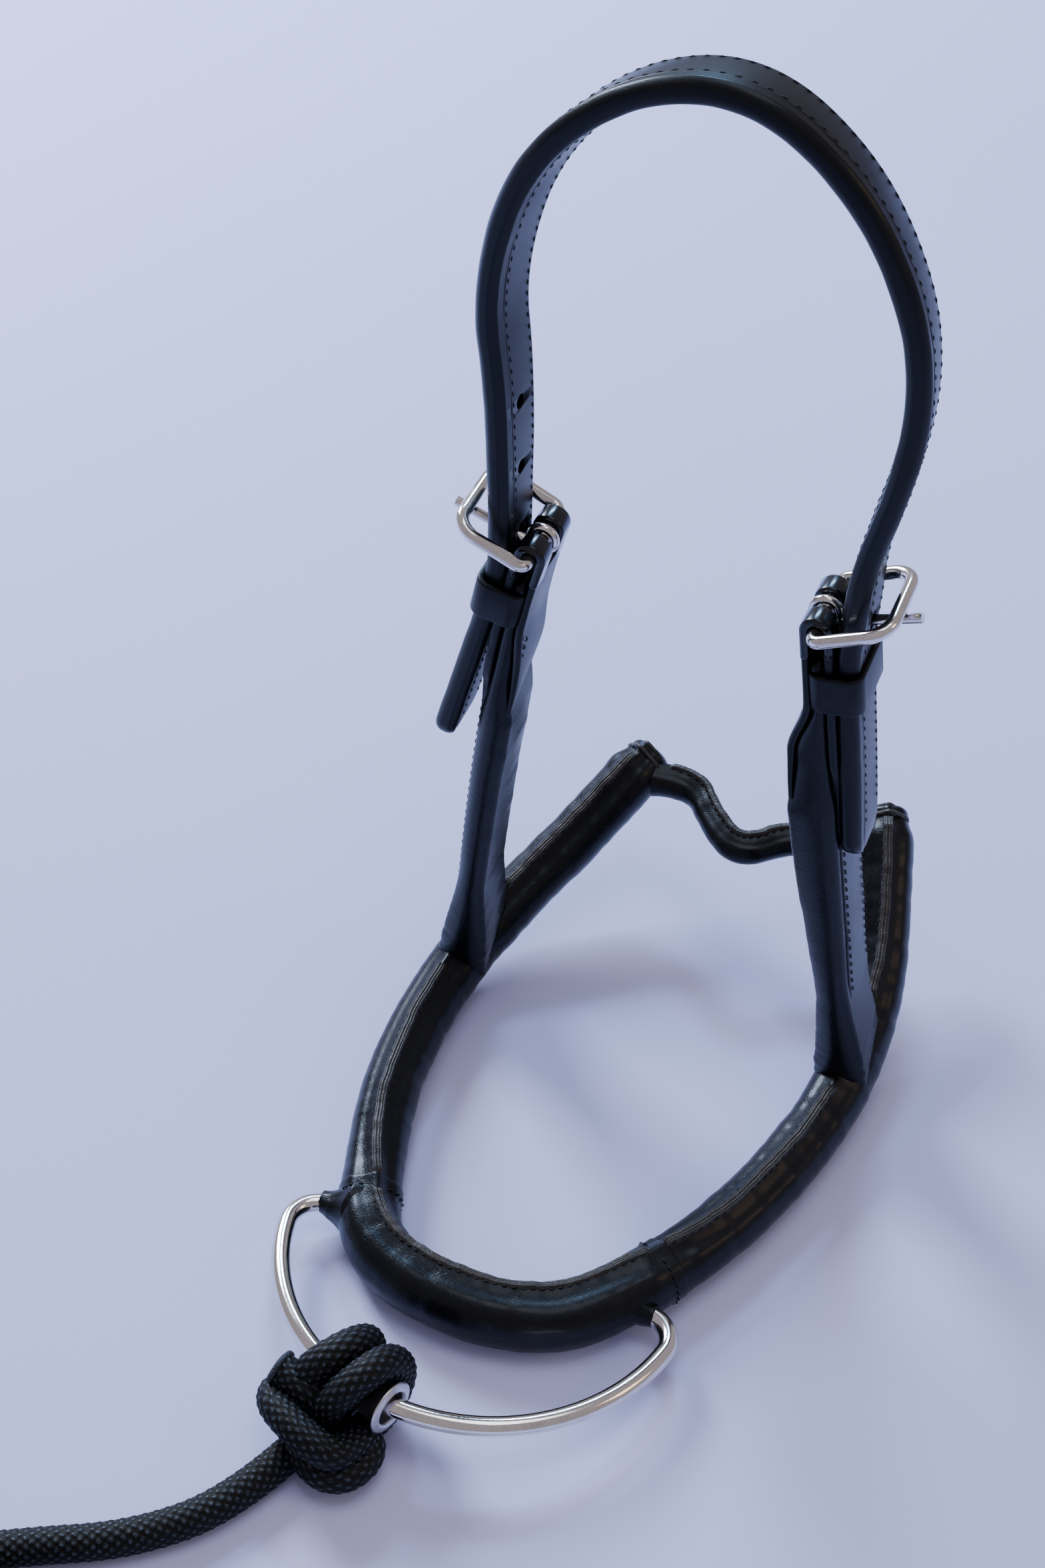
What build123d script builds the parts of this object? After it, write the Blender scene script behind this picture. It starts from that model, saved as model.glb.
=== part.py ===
from build123d import *
import os
from math import cos, pi, radians, sin, tan

# Leather headcollar lying on a flat surface, with a knotted lead rope on its bail.
# Millimetres. +X runs across the nose, -Y is the bail side, +Z is up.  The origin is on the floor.
# The floor is z = 0. Layers of a strap are given as distances from the strap's own line.

# ---- driving dimensions -------------------------------------------------------------------
TUBE_R = 10.0              # outside radius of the padded noseband
COVER_WALL = 1.8           # leather of the noseband cover
WELT_W = 2.6               # width of the seam that stands on the noseband
WELT_H = 3.0               # how far that seam stands above the cover
WELT_SINK = 0.6            # how deep that seam is set into the cover
WELT_LEAN = 30.0           # degrees that the front seam leans towards the nose
WELT_END = 4.0             # from an arm's end to its seam
FOOT_FRONT = 19.0          # bare noseband in front of a cheek's foot
FOOT_REAR = 29.0           # and behind it
ROLL_R = 5.2               # rolled rear strap, outside radius
ROLL_WALL = 1.6            # leather of the rolled rear strap

ROD_R = 3.0                # bail wire
BAIL_R = 64.5              # radius of the bail's front arc
BAIL_HALF_ARC = 78.0       # degrees each side of the middle of the front arc
BAIL_CORNER_R = 10.0       # corners beside the front section
BAIL_X = -15.0             # middle of the bail
BAIL_Y = -63.5             # centre of the front arc
BAIL_TILT = 8.2            # degrees that the bail rises towards its front
SLEEVE_LEN = 11.0          # leather cone where the bail leaves the noseband
SLEEVE_BASE_R = 7.5        # radius of the cone where it starts inside the cover
SLEEVE_TIP_WALL = 1.4      # leather left around the wire at the cone's tip
SLEEVE_REACH = 1.5         # how far the cone reaches over the start of the bail's corner

HEAD_Y = 49.0              # plane of the cheeks and the headpiece
TILT_RISE = 3.9            # how far the noseband has risen where the cheeks are sewn to it
CROWN_W = 22.0             # width of the headpiece strap
FACING_T = 2.0             # leather on each face of the headpiece strap
FILLER_T = 2.5             # filler between the two faces
FILLER_INSET = 2.5         # the filler stops this far inside each edge
CHEEK_W = 22.0             # width of the cheek strap
CHEEK_T = 2.6              # leather of the cheek strap
PAD_W = 25.0               # width of the padded part of the cheek
TURNBACK_LEN = 58.0        # length of the end that is turned back round the buckle bar
PAD_START = 12.0           # from the buckle bar to the padding between the two legs
TURNBACK_TAPER = 3.0       # the turned-back end stops this far before the padding widens
CHEEK_TIP_GAP = 4.4        # from the noseband's cover to the pointed end of the cheek
CHEEK_TIP_SLOPE = 48.0     # degrees of the pointed end
FOOT_CUT = 30.0            # half size of the block that cuts the pointed end
LEG_GAP = 7.2              # slot for the buckle tongue between the two legs
SLOT_LEN = 18.0            # length of that slot up the cheek
SLOT_MIDDLE = -1.0         # its middle, from the buckle bar

BAR_X = 42.5               # buckle bar, each side of the middle
BAR_Z = 204.0
WIRE_R = 2.0               # buckle frame
BAR_CLEAR = 0.15           # between the bar and the leather round it
FRAME_LEN = 23.0           # bar to outer rail, centre to centre
FRAME_SIDE_GAP = 2.0       # between a strap's edge and the side rail
FRAME_CORNER_R = 7.0       # outer corners
FRAME_BAR_CORNER_R = 3.0   # corners beside the bar
FRAME_TILT = 25.0          # degrees that the frame stands above level
TONGUE_R = 1.5
TONGUE_OVERHANG = 4.0      # how far the tongue passes the outer rail
TONGUE_EYE_CLEAR = 0.25    # between the bar and the tongue's eye
TONGUE_DROP = 4.6          # degrees that the tongue runs below the frame's plane
KEEPER_T = 1.8
KEEPER_H = 13.0
KEEPER_AT = 14.0           # from the buckle bar down the cheek to the keeper
TAIL_GAP = 0.2             # between the cheek and the strap end that hangs outside it
KEEPER_GAP = 0.2
KEEPER_LEAD = 4.0          # the strap is in line with the cheek this far above the keeper
STRAP_BAR_GAP = 2.0        # between the leather round the bar and the strap in the frame

HOLE_R = 2.2               # punched spare holes
HOLE_RISE = (24.0, 46.0)   # from the buckle bar up to the spare holes
TONGUE_HOLE_W = 4.6        # the oval hole that the tongue is in
TONGUE_HOLE_H = 8.0

EYELET_BORE_R = 5.3
EYELET_WALL = 0.8
EYELET_LEN = 32.0
FLANGE_R = 8.5
FLANGE_T = 1.2
FLANGE_BITE = 0.1          # the flange and its barrel are one piece, and overlap by this
KNOT_ANGLE = -17.0         # degrees round the front arc from its middle
ROPE_R = 5.3
ROPE_BITE = 0.3            # how far the wraps press into themselves
KNOT_END_GAP = 1.3         # between the knot and each flange
KNOT_ROUND = 5.0           # round shoulders of the knot
LOBE_R = 11.4              # lower lobe of the knot, on the floor side
LOBE_SHORTER = 5.0         # how much shorter than the wraps the lobe is
LOBE_ROUND = 7.0
LOBE_SHIFT = (2.0, 5.0)    # from the start of the lead to the middle of the lobe
FLOOR_GAP = 0.2            # under the rope
COIL_R = 66.0              # middle of the stored turns
COIL_MIDDLE = (-116.5, -287.0)
COIL_LAYERS = 2            # turns on top of each other
COIL_RINGS = 2             # turns beside each other

# ---- routes -------------------------------------------------------------------------------
# The nose loop, from the left rear end round the front to the right rear end.
# Each point is x, y and the rise above where the noseband lies on the floor.
LEFT_ARM = [(-31, 127, 40), (-45, 99, 24), (-60, 71, 11), (-70, 43, 2.5), (-73, 9, 0), (-69, -23, 0),
            (-61, -49, 0)]
FRONT = [(-55, -68, 0), (-41, -80, 0), (-10, -84, 0), (14, -78, 0), (28, -63, 0)]
RIGHT_ARM = [(46, -36, 0), (60, -3, 0), (69, 33, 1), (71, 63, 6), (67, 93, 18), (55, 130, 40)]
REAR_END = 9.0             # from the end of each arm to the middle of the rear strap
REAR_STRAP = [(-13, 125, 36), (1, 107, 34), (13, 99, 33), (27, 114, 34)]
BAIL_HIDDEN = [(-59, -66), (-44, -77), (-16, -83), (6, -80), (19, -71), (28, -65.2)]
# The cheeks, from the buckle bar through a knee to the noseband, as (x, z).
CHEEK_FOOT_Z = TUBE_R + 10.0
LEFT_CHEEK = [(-BAR_X, BAR_Z), (-58, 148), (-68, CHEEK_FOOT_Z)]
RIGHT_CHEEK = [(BAR_X, BAR_Z), (51.5, 135), (69.5, CHEEK_FOOT_Z)]
# The headpiece between its two upright ends, as x outwards of the left or right bar or from the middle,
# and the rise above the bars.
UPRIGHT_LOW, LEFT_UPRIGHT, RIGHT_UPRIGHT = 2.0, 52.0, 23.0
LEFT_SHOULDER = [(13.5, 84), (2.5, 123)]
ARCH_TOP = [(-18.0, 148), (12.0, 153)]
RIGHT_SHOULDER = [(-3.0, 133), (13.5, 104), (18.5, 78), (16.5, 52)]
TAIL_LEN = 88.0            # from the buckle bar to the end of the hanging strap end
# The lead from the knot to the stored turns.
LEAD_Z = ROPE_R + FLOOR_GAP
LEAD = [(-43, -143, LEAD_Z), (-52, -166, LEAD_Z), (-74, -187, LEAD_Z), (-103, -201, LEAD_Z),
        (-133, -218, LEAD_Z)]

# ---- sizes that follow --------------------------------------------------------------------
BORE_R = TUBE_R - COVER_WALL
TILT_Z = TUBE_R + TILT_RISE
STRAP_T = 2 * FACING_T + FILLER_T
RING_IN = WIRE_R + BAR_CLEAR
RING_OUT = RING_IN + CHEEK_T
TAIL_OFFSET = RING_OUT + TAIL_GAP + STRAP_T / 2
STRAP_OUT = RING_OUT + STRAP_BAR_GAP + STRAP_T / 2
WIDEST_STRAP = max(CROWN_W, CHEEK_W)
FRAME_HALF_W = WIDEST_STRAP / 2 + FRAME_SIDE_GAP + WIRE_R
TONGUE_LEN = FRAME_LEN + TONGUE_OVERHANG
EYELET_OUT = EYELET_BORE_R + EYELET_WALL
KNOT_LEN = EYELET_LEN - 2 * (FLANGE_T + KNOT_END_GAP)


# ---- helpers ------------------------------------------------------------------------------
def route_radii(points):
    """One radius for each corner: 0.45 of the shorter run, over the tangent of half the turn."""
    vectors = [Vector(*point) for point in points]
    radii = []
    for before, here, after in zip(vectors, vectors[1:], vectors[2:]):
        into, away = here - before, after - here
        half_turn = radians(into.get_angle(away)) / 2
        radii.append(0.45 * min(into.length, away.length) / tan(half_turn))
    return radii


def route(points):
    """Straight runs joined by tangent arcs."""
    if len(points) == 2:
        return Wire(Line(*points).edges())
    return FilletPolyline(*points, radius=route_radii(points)).wire()


def raised(points):
    """Noseband points at their height above the floor."""
    return [(x, y, TUBE_R + rise) for x, y, rise in points]


def xz(points):
    """Points of the headpiece's plane."""
    return [(x, HEAD_Y, z) for x, z in points]


def tube(path, radius):
    """A round bar along a path."""
    start = Plane(origin=path @ 0, z_dir=path % 0)
    return sweep(start * Circle(radius), path)


def layer(path, near, far, width):
    """One layer of a strap in the headpiece's plane, from near to far outwards of its line."""
    start = Plane(origin=path @ 0, x_dir=(0, 1, 0), z_dir=path % 0)
    section = start * Pos(0, (near + far) / 2) * Rectangle(width, far - near)
    return sweep(section, path)


def standing_strip(path, width, low, high, lean):
    """A strip that stands on a route, from low to high off its line, and leans inwards."""
    start = Plane(origin=path @ 0, x_dir=Vector(0, 0, 1).cross(path % 0), z_dir=path % 0)
    section = start * Rot(0, 0, -lean) * Pos(0, (low + high) / 2) * Rectangle(width, high - low)
    return sweep(section, path)


def middle(first, second):
    """Half way between two route points."""
    return tuple((a + b) / 2 for a, b in zip(first, second))


def along(start, toward, distance):
    """A point a distance from start towards another point."""
    first, second = Vector(*start), Vector(*toward)
    spot = first + (second - first).normalized() * distance
    return (spot.X, spot.Y, spot.Z)


def biggest(shape):
    """The largest solid of a shape, without the slivers that a cut leaves."""
    return max(shape.solids(), key=lambda solid: solid.volume)


def save(name, shape):
    """Write one named piece."""
    shape.label = name
    export_step(shape, f"parts/{name}.step")


# ---- noseband -----------------------------------------------------------------------------
def nose_routes():
    """The left arm, the front and the right arm, which meet half way along two runs."""
    left_arm, front, right_arm = raised(LEFT_ARM), raised(FRONT), raised(RIGHT_ARM)
    left_joint = middle(left_arm[-1], front[0])
    right_joint = middle(front[-1], right_arm[0])
    return {
        "left_arm": left_arm + [left_joint],
        "front": [left_joint] + front + [right_joint],
        "right_arm": [right_joint] + right_arm,
    }


def at_y(path, y):
    """Distance along an arm's path, from its rear end or its front, to the point with this y."""
    low, high = 0.0, 1.0
    rising = (path @ 1).Y > (path @ 0).Y
    for _ in range(40):
        half_way = (low + high) / 2
        if ((path @ half_way).Y < y) == rising:
            low = half_way
        else:
            high = half_way
    return low * path.length


def seam_paths(routes):
    """The stretches of the nose loop that carry a standing seam, clear of the cheeks' feet."""
    left, front, right = routes["left_arm"], routes["front"], routes["right_arm"]
    left_foot, right_foot = at_y(left, HEAD_Y), at_y(right, HEAD_Y)
    spans = {
        "left_rear_welt": (left, WELT_END, left_foot - FOOT_REAR),
        "left_front_welt": (left, left_foot + FOOT_FRONT, left.length - 1),
        "front_welt": (front, WELT_END * 2, front.length - WELT_END * 2),
        "right_front_welt": (right, 1, right_foot - FOOT_FRONT),
        "right_rear_welt": (right, right_foot + FOOT_REAR, right.length - WELT_END),
    }
    return {name: path.trim(first / path.length, last / path.length)
            for name, (path, first, last) in spans.items()}


def bail_paths():
    """The two stretches of the bail's line in its tilted plane: front arc with corners, and hidden bar."""
    plane = bail_plane()
    half = radians(BAIL_HALF_ARC)
    ends = [(side * BAIL_R * sin(half), -BAIL_R * cos(half)) for side in (-1, 1)]
    inward = BAIL_CORNER_R
    centres = [(x - side * inward * sin(half), y + inward * cos(half)) for side, (x, y) in zip((-1, 1), ends)]
    front = ThreePointArc(ends[0], (0, -BAIL_R), ends[1])
    corners = []
    for side, (x, y), end in zip((-1, 1), centres, ends):
        top = (x, y + inward)
        mid_angle = radians(90 - side * (90 - BAIL_HALF_ARC / 2))
        middle_point = (x + inward * cos(mid_angle), y + inward * sin(mid_angle))
        corners.append((top, ThreePointArc(end, middle_point, top)))
    hidden_points = [corners[0][0]] + [(x - BAIL_X, (y - BAIL_Y)) for x, y in BAIL_HIDDEN] + [corners[1][0]]
    hidden = FilletPolyline(*hidden_points, radius=route_radii([(x, y, 0) for x, y in hidden_points]))
    shown = corners[0][1].edges() + front.edges() + corners[1][1].edges()
    return [Wire([plane.from_local_coords(edge) for edge in edges]) for edges in (shown, hidden.edges())]


def bail_plane():
    """The bail's own plane: its origin is the centre of the front arc."""
    tilt = radians(BAIL_TILT)
    return Plane(origin=(BAIL_X, BAIL_Y, TUBE_R), x_dir=(1, 0, 0), z_dir=(0, sin(tilt), cos(tilt)))


def noseband():
    """Covers, cores, standing seams, rear strap, bail and its sleeves."""
    pieces = {}
    shown, hidden = bail_paths()
    bail = tube(shown, ROD_R) + tube(hidden, ROD_R)
    routes = {name: route(points) for name, points in nose_routes().items()}
    envelopes = {name: tube(path, TUBE_R) for name, path in routes.items()}
    for name, path in seam_paths(routes).items():
        lean = WELT_LEAN if name == "front_welt" else 0
        welt = standing_strip(path, WELT_W, TUBE_R - WELT_SINK, TUBE_R + WELT_H, lean)
        for envelope in envelopes.values():
            welt -= envelope
        pieces[name] = welt
    for name, path in routes.items():
        cover = envelopes[name] - tube(path, BORE_R)
        core = tube(path, BORE_R)
        if name == "front":
            core -= bail
            cover -= bail
        pieces[f"{name}_cover"] = cover
        pieces[f"{name}_core"] = core

    left_arm, right_arm = raised(LEFT_ARM), raised(RIGHT_ARM)
    roll = route([along(left_arm[0], left_arm[1], REAR_END)] + raised(REAR_STRAP)
                 + [along(right_arm[-1], right_arm[-2], REAR_END)])
    roll_core = tube(roll, ROLL_R - ROLL_WALL)
    roll_cover = tube(roll, ROLL_R) - roll_core
    for arm in ("left_arm", "right_arm"):
        roll_core -= envelopes[arm]
        roll_cover -= envelopes[arm]
    pieces["rear_strap_cover"] = roll_cover
    pieces["rear_strap_core"] = roll_core

    pieces["bail"] = bail
    for side, name in ((-1, "left"), (1, "right")):
        exit_spot = hidden @ (0 if side < 0 else 1)
        tip_spot = (exit_spot.X + side * SLEEVE_REACH, exit_spot.Y, exit_spot.Z)
        cone_plane = Plane(origin=tip_spot, z_dir=(side, 0, 0)) * Pos(0, 0, -SLEEVE_LEN / 2)
        cone = cone_plane * Cone(SLEEVE_BASE_R, ROD_R + SLEEVE_TIP_WALL, SLEEVE_LEN)
        for envelope in envelopes.values():
            cone -= envelope
        pieces[f"{name}_bail_sleeve"] = biggest(cone - bail)
    return pieces


# ---- headpiece ----------------------------------------------------------------------------
def cheek_line(points):
    """Unit vectors down and outwards along the first run below the buckle bar."""
    (x0, z0), (x1, z1) = points[0], points[1]
    length = ((x1 - x0) ** 2 + (z1 - z0) ** 2) ** 0.5
    down = ((x1 - x0) / length, (z1 - z0) / length)
    side = 1 if x0 > 0 else -1
    outward = (-down[1] * side, down[0] * side)
    return down, outward


def beside(points, distance, offset):
    """The point at a distance along a bent line and an offset outwards of it."""
    remaining = distance
    for (x0, z0), (x1, z1) in zip(points, points[1:]):
        length = ((x1 - x0) ** 2 + (z1 - z0) ** 2) ** 0.5
        if remaining <= length or (x1, z1) == points[-1]:
            down, outward = cheek_line([(x0, z0), (x1, z1)])
            return tuple(start + fall * remaining + out * offset
                         for start, fall, out in zip((x0, z0), down, outward))
        remaining -= length
    return points[-1]


def knee_beside(points, offset):
    """The corner of a line that runs beside a bent line."""
    (x0, z0), (x1, z1), (x2, z2) = points
    _, first = cheek_line([(x0, z0), (x1, z1)])
    _, second = cheek_line([(x1, z1), (x2, z2)])
    share = 1 + first[0] * second[0] + first[1] * second[1]
    return (x1 + offset * (first[0] + second[0]) / share, z1 + offset * (first[1] + second[1]) / share)


def cheek_path(points):
    """A cheek's line, run so that outwards is the positive side of its layers."""
    ordered = points if points[0][0] > 0 else points[::-1]
    return route(xz(ordered))


def part_path(points, first, last):
    """A stretch of a cheek's line between two distances from the buckle bar."""
    path = cheek_path(points)
    near, far = first / path.length, min(last / path.length, 1)
    return path.trim(near, far) if points[0][0] > 0 else path.trim(1 - far, 1 - near)


def pointed_foot(x):
    """What lies below the pointed end of a cheek."""
    tip = TILT_Z + TUBE_R + CHEEK_TIP_GAP
    rise = FOOT_CUT * tan(radians(CHEEK_TIP_SLOPE))
    front, back = HEAD_Y - FOOT_CUT, HEAD_Y + FOOT_CUT
    outline = Polyline((HEAD_Y, tip), (back, tip + rise), (back, -TUBE_R), (front, -TUBE_R),
                       (front, tip + rise), (HEAD_Y, tip))
    face = Plane(origin=(x - FOOT_CUT, 0, 0), x_dir=(0, 1, 0), z_dir=(1, 0, 0)) * make_face(outline)
    return extrude(face, amount=2 * FOOT_CUT)


def bar_frame(points):
    """Axes at the buckle bar: x outwards of the cheek, y up the cheek, z along the bar."""
    down, outward = cheek_line(points)
    x, z = points[0]
    along_bar = Vector(outward[0], 0, outward[1]).cross(Vector(-down[0], 0, -down[1]))
    return Plane(origin=(x, HEAD_Y, z), x_dir=(outward[0], 0, outward[1]), z_dir=along_bar)


def cheek(points):
    """The cheek strap turned back round the buckle bar, and its padding."""
    frame = bar_frame(points)
    foot = pointed_foot(points[-1][0])
    full = cheek_path(points)
    outer = layer(full, RING_IN, RING_OUT, CHEEK_W) - foot
    inner = layer(part_path(points, 0, TURNBACK_LEN - TURNBACK_TAPER), -RING_OUT, -RING_IN, CHEEK_W)
    half_ring = Circle(RING_OUT) - Circle(RING_IN) - Pos(0, -RING_OUT) * Rectangle(4 * RING_OUT, 2 * RING_OUT)
    loop = extrude(frame * half_ring, amount=CHEEK_W / 2, both=True)
    slot = frame * Pos(0, SLOT_MIDDLE, 0) * Box(4 * RING_OUT, SLOT_LEN, LEG_GAP)
    strap = (outer + inner + loop) - slot
    pad_upper = layer(part_path(points, PAD_START, TURNBACK_LEN), -RING_IN, RING_IN, CHEEK_W)
    pad_lower = layer(part_path(points, TURNBACK_LEN, full.length), -RING_OUT, RING_IN, PAD_W) - foot
    return strap, pad_upper + pad_lower


def keeper(points):
    """A loop sewn to the cheek's edges that holds the strap end against it."""
    frame = bar_frame(points)
    inside_w = WIDEST_STRAP + 2 * KEEPER_GAP
    far = TAIL_OFFSET + STRAP_T / 2 + KEEPER_GAP
    outside = Rectangle(far + KEEPER_T + RING_IN, inside_w + 2 * KEEPER_T)
    inside = Pos(-KEEPER_T, 0) * Rectangle(far + KEEPER_T + RING_IN, inside_w)
    shape = Pos((far + KEEPER_T - RING_IN) / 2, 0) * (outside - inside)
    across = Plane(origin=frame.from_local_coords((0, -KEEPER_AT, 0)), x_dir=frame.x_dir, z_dir=-frame.y_dir)
    return extrude(across * shape, amount=KEEPER_H)


def crown_line():
    """The headpiece strap's line, from one hanging end over the top to the other, as (x, z)."""
    left_run, right_run = [
        [beside(points, TAIL_LEN, TAIL_OFFSET), knee_beside(points, TAIL_OFFSET),
         beside(points, KEEPER_AT - KEEPER_LEAD, TAIL_OFFSET)] for points in (LEFT_CHEEK, RIGHT_CHEEK)]
    upright = BAR_X + STRAP_OUT
    arch = [(-upright, UPRIGHT_LOW), (-upright, LEFT_UPRIGHT)]
    arch += [(-BAR_X - out, rise) for out, rise in LEFT_SHOULDER] + ARCH_TOP
    arch += [(BAR_X + out, rise) for out, rise in RIGHT_SHOULDER]
    arch += [(upright, RIGHT_UPRIGHT), (upright, UPRIGHT_LOW)]
    return left_run + [(x, BAR_Z + rise) for x, rise in arch] + right_run[::-1]


def crown():
    """Facing, filler and lining of the headpiece strap, with the punched holes."""
    path = route(xz(crown_line()))
    half = STRAP_T / 2
    pieces = {
        "crown_facing": layer(path, half - FACING_T, half, CROWN_W),
        "crown_filler": layer(path, -FILLER_T / 2, FILLER_T / 2, CROWN_W - 2 * FILLER_INSET),
        "crown_lining": layer(path, -half, FACING_T - half, CROWN_W),
    }
    holes = []
    slot = extrude(SlotOverall(TONGUE_HOLE_H, TONGUE_HOLE_W), 1.5 * STRAP_T, both=True)
    for x in (-BAR_X - STRAP_OUT, BAR_X + STRAP_OUT):
        for rise in HOLE_RISE:
            holes.append(Pos(x, HEAD_Y, BAR_Z + rise) * Rot(0, 90, 0) * Cylinder(HOLE_R, 3 * STRAP_T))
        holes.append(Pos(x, HEAD_Y, BAR_Z) * Rot(0, 90, 0) * slot)
    return {name: shape - holes for name, shape in pieces.items()}


# ---- buckles ------------------------------------------------------------------------------
def buckle_frame_axes(side):
    """Axes of a buckle: x from the bar to the outer rail, y up from the frame, z along the bar."""
    tilt = radians(FRAME_TILT)
    reach = Vector(side * cos(tilt), 0, sin(tilt))
    up = Vector(-side * sin(tilt), 0, cos(tilt))
    return Plane(origin=(side * BAR_X, HEAD_Y, BAR_Z), x_dir=reach, z_dir=reach.cross(up))


def buckle(side):
    """A bent wire frame and the tongue on its bar."""
    axes = buckle_frame_axes(side)
    w, length = FRAME_HALF_W, FRAME_LEN
    corners = [(0, 0, 0), (0, 0, w), (length, 0, w), (length, 0, -w), (0, 0, -w)]
    radii = [0, FRAME_BAR_CORNER_R, FRAME_CORNER_R, FRAME_CORNER_R, FRAME_BAR_CORNER_R]
    loop = FilletPolyline(*corners, radius=radii, close=True).wire()
    start = Plane(origin=loop @ 0, z_dir=loop % 0)
    frame = sweep(start * Circle(WIRE_R), loop)

    eye_r = WIRE_R + TONGUE_EYE_CLEAR + TONGUE_R
    eye = Torus(eye_r, TONGUE_R)
    pin_axis = Plane(origin=(0, -eye_r, 0), z_dir=(cos(radians(TONGUE_DROP)), -sin(radians(TONGUE_DROP)), 0))
    pin = pin_axis * Pos(0, 0, TONGUE_LEN / 2) * Cylinder(TONGUE_R, TONGUE_LEN)
    tongue = eye + pin
    tongue -= Cylinder(WIRE_R + TONGUE_EYE_CLEAR, 2 * FRAME_HALF_W)
    return axes * frame, axes * tongue


# ---- rope ring ----------------------------------------------------------------------------
def knot_axes():
    """Axes at the knot: z along the bail's wire, x away from the middle of the front arc, y up."""
    plane = bail_plane()
    angle = radians(KNOT_ANGLE)
    outward = plane.from_local_coords(Vector(sin(angle), -cos(angle), 0)) - plane.origin
    tangent = plane.from_local_coords(Vector(cos(angle), sin(angle), 0)) - plane.origin
    sag = (EYELET_LEN / 2) ** 2 / (2 * BAIL_R)
    spot = plane.origin + outward * (BAIL_R - sag / 2)
    return Plane(origin=spot, x_dir=outward, z_dir=tangent)


def rope_ring():
    """Flanged eyelet on the bail, the knot round it and the lead rope."""
    axes = knot_axes()
    half = EYELET_LEN / 2
    disc = Cylinder(FLANGE_R, FLANGE_T)
    barrel = Cylinder(EYELET_OUT, EYELET_LEN) - Cylinder(EYELET_BORE_R, 2 * EYELET_LEN)
    flange = Pos(0, 0, half - FLANGE_T / 2) * (disc - Cylinder(EYELET_OUT - FLANGE_BITE, 2 * FLANGE_T))
    washer = Pos(0, 0, -half + FLANGE_T / 2) * (disc - Cylinder(EYELET_OUT, 2 * FLANGE_T))
    knot = axes * fillet(Cylinder(EYELET_OUT + 2 * ROPE_R - ROPE_BITE, KNOT_LEN).edges(), KNOT_ROUND)
    lobe_middle = (LEAD[0][0] + LOBE_SHIFT[0], LEAD[0][1] + LOBE_SHIFT[1], LOBE_R + 2 * FLOOR_GAP)
    lobe_plane = Plane(origin=lobe_middle, z_dir=(axes.z_dir.X, axes.z_dir.Y, 0))
    lobe = lobe_plane * fillet(Cylinder(LOBE_R, KNOT_LEN - LOBE_SHORTER).edges(), LOBE_ROUND)
    lead = tube(route(LEAD), ROPE_R)
    channel = axes * Cylinder(EYELET_OUT, 2 * EYELET_LEN)
    knot = (knot + lobe) - channel
    coil = lead_coil()
    return {
        "eyelet_barrel": axes * (barrel + flange),
        "eyelet_washer": axes * washer,
        "rope_knot": knot,
        "lead_rope": lead - knot - coil,
    }


def lead_coil():
    """Outer shape of the stored turns of the lead."""
    width, height = 2 * ROPE_R * COIL_RINGS, 2 * ROPE_R * COIL_LAYERS
    ring = Cylinder(COIL_R + width / 2, height) - Cylinder(COIL_R - width / 2, 2 * height)
    return Pos(COIL_MIDDLE[0], COIL_MIDDLE[1], height / 2 + FLOOR_GAP) * ring


# ---- build --------------------------------------------------------------------------------
def main():
    """Build every piece and write it, then print what the lead's tube measures."""
    os.makedirs("parts", exist_ok=True)
    pieces = noseband()
    pieces.update(crown())
    for name, side, points in (("left", -1, LEFT_CHEEK), ("right", 1, RIGHT_CHEEK)):
        pieces[f"{name}_cheek_strap"], pieces[f"{name}_cheek_padding"] = cheek(points)
        pieces[f"{name}_keeper"] = keeper(points)
        pieces[f"{name}_buckle_frame"], pieces[f"{name}_buckle_tongue"] = buckle(side)
    pieces.update(rope_ring())
    pieces["lead_coil"] = lead_coil()
    for name, shape in pieces.items():
        save(name, shape)
    length = route(LEAD).length
    print("lead radii", [round(radius) for radius in route_radii(LEAD)])
    print("lead tube length", round(length, 1), "volume", round(pieces["lead_rope"].volume),
          "section times length", round(pi * ROPE_R ** 2 * length))


main()
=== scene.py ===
"""Leather headcollar with a steel bail and a knotted lead rope: its shown surfaces, finishes and studio."""
import logging
from collections.abc import Callable
from dataclasses import dataclass, field
from enum import Enum
from math import cos, pi, radians, sin

import bpy
import numpy as np
from mathutils import Matrix, Vector


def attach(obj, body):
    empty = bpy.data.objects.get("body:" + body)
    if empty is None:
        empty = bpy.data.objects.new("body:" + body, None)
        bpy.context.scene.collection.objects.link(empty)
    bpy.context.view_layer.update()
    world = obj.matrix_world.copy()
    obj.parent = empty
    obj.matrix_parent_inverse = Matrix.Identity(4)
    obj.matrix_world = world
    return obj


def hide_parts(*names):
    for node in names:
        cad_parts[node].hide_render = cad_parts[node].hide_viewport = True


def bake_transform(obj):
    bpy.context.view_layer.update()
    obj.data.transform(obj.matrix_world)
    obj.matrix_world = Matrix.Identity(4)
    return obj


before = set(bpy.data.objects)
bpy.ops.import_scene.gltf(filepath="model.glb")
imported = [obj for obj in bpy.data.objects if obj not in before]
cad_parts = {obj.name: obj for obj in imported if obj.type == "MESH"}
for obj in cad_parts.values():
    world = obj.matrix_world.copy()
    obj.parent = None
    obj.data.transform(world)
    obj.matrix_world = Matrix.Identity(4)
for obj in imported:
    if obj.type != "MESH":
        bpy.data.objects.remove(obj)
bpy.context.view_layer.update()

MM = 0.001
UP = np.array([0.0, 0.0, 1.0])
REARWARD = np.array([0.0, 1.0, 0.0])
log = logging.getLogger("headcollar")

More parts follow.
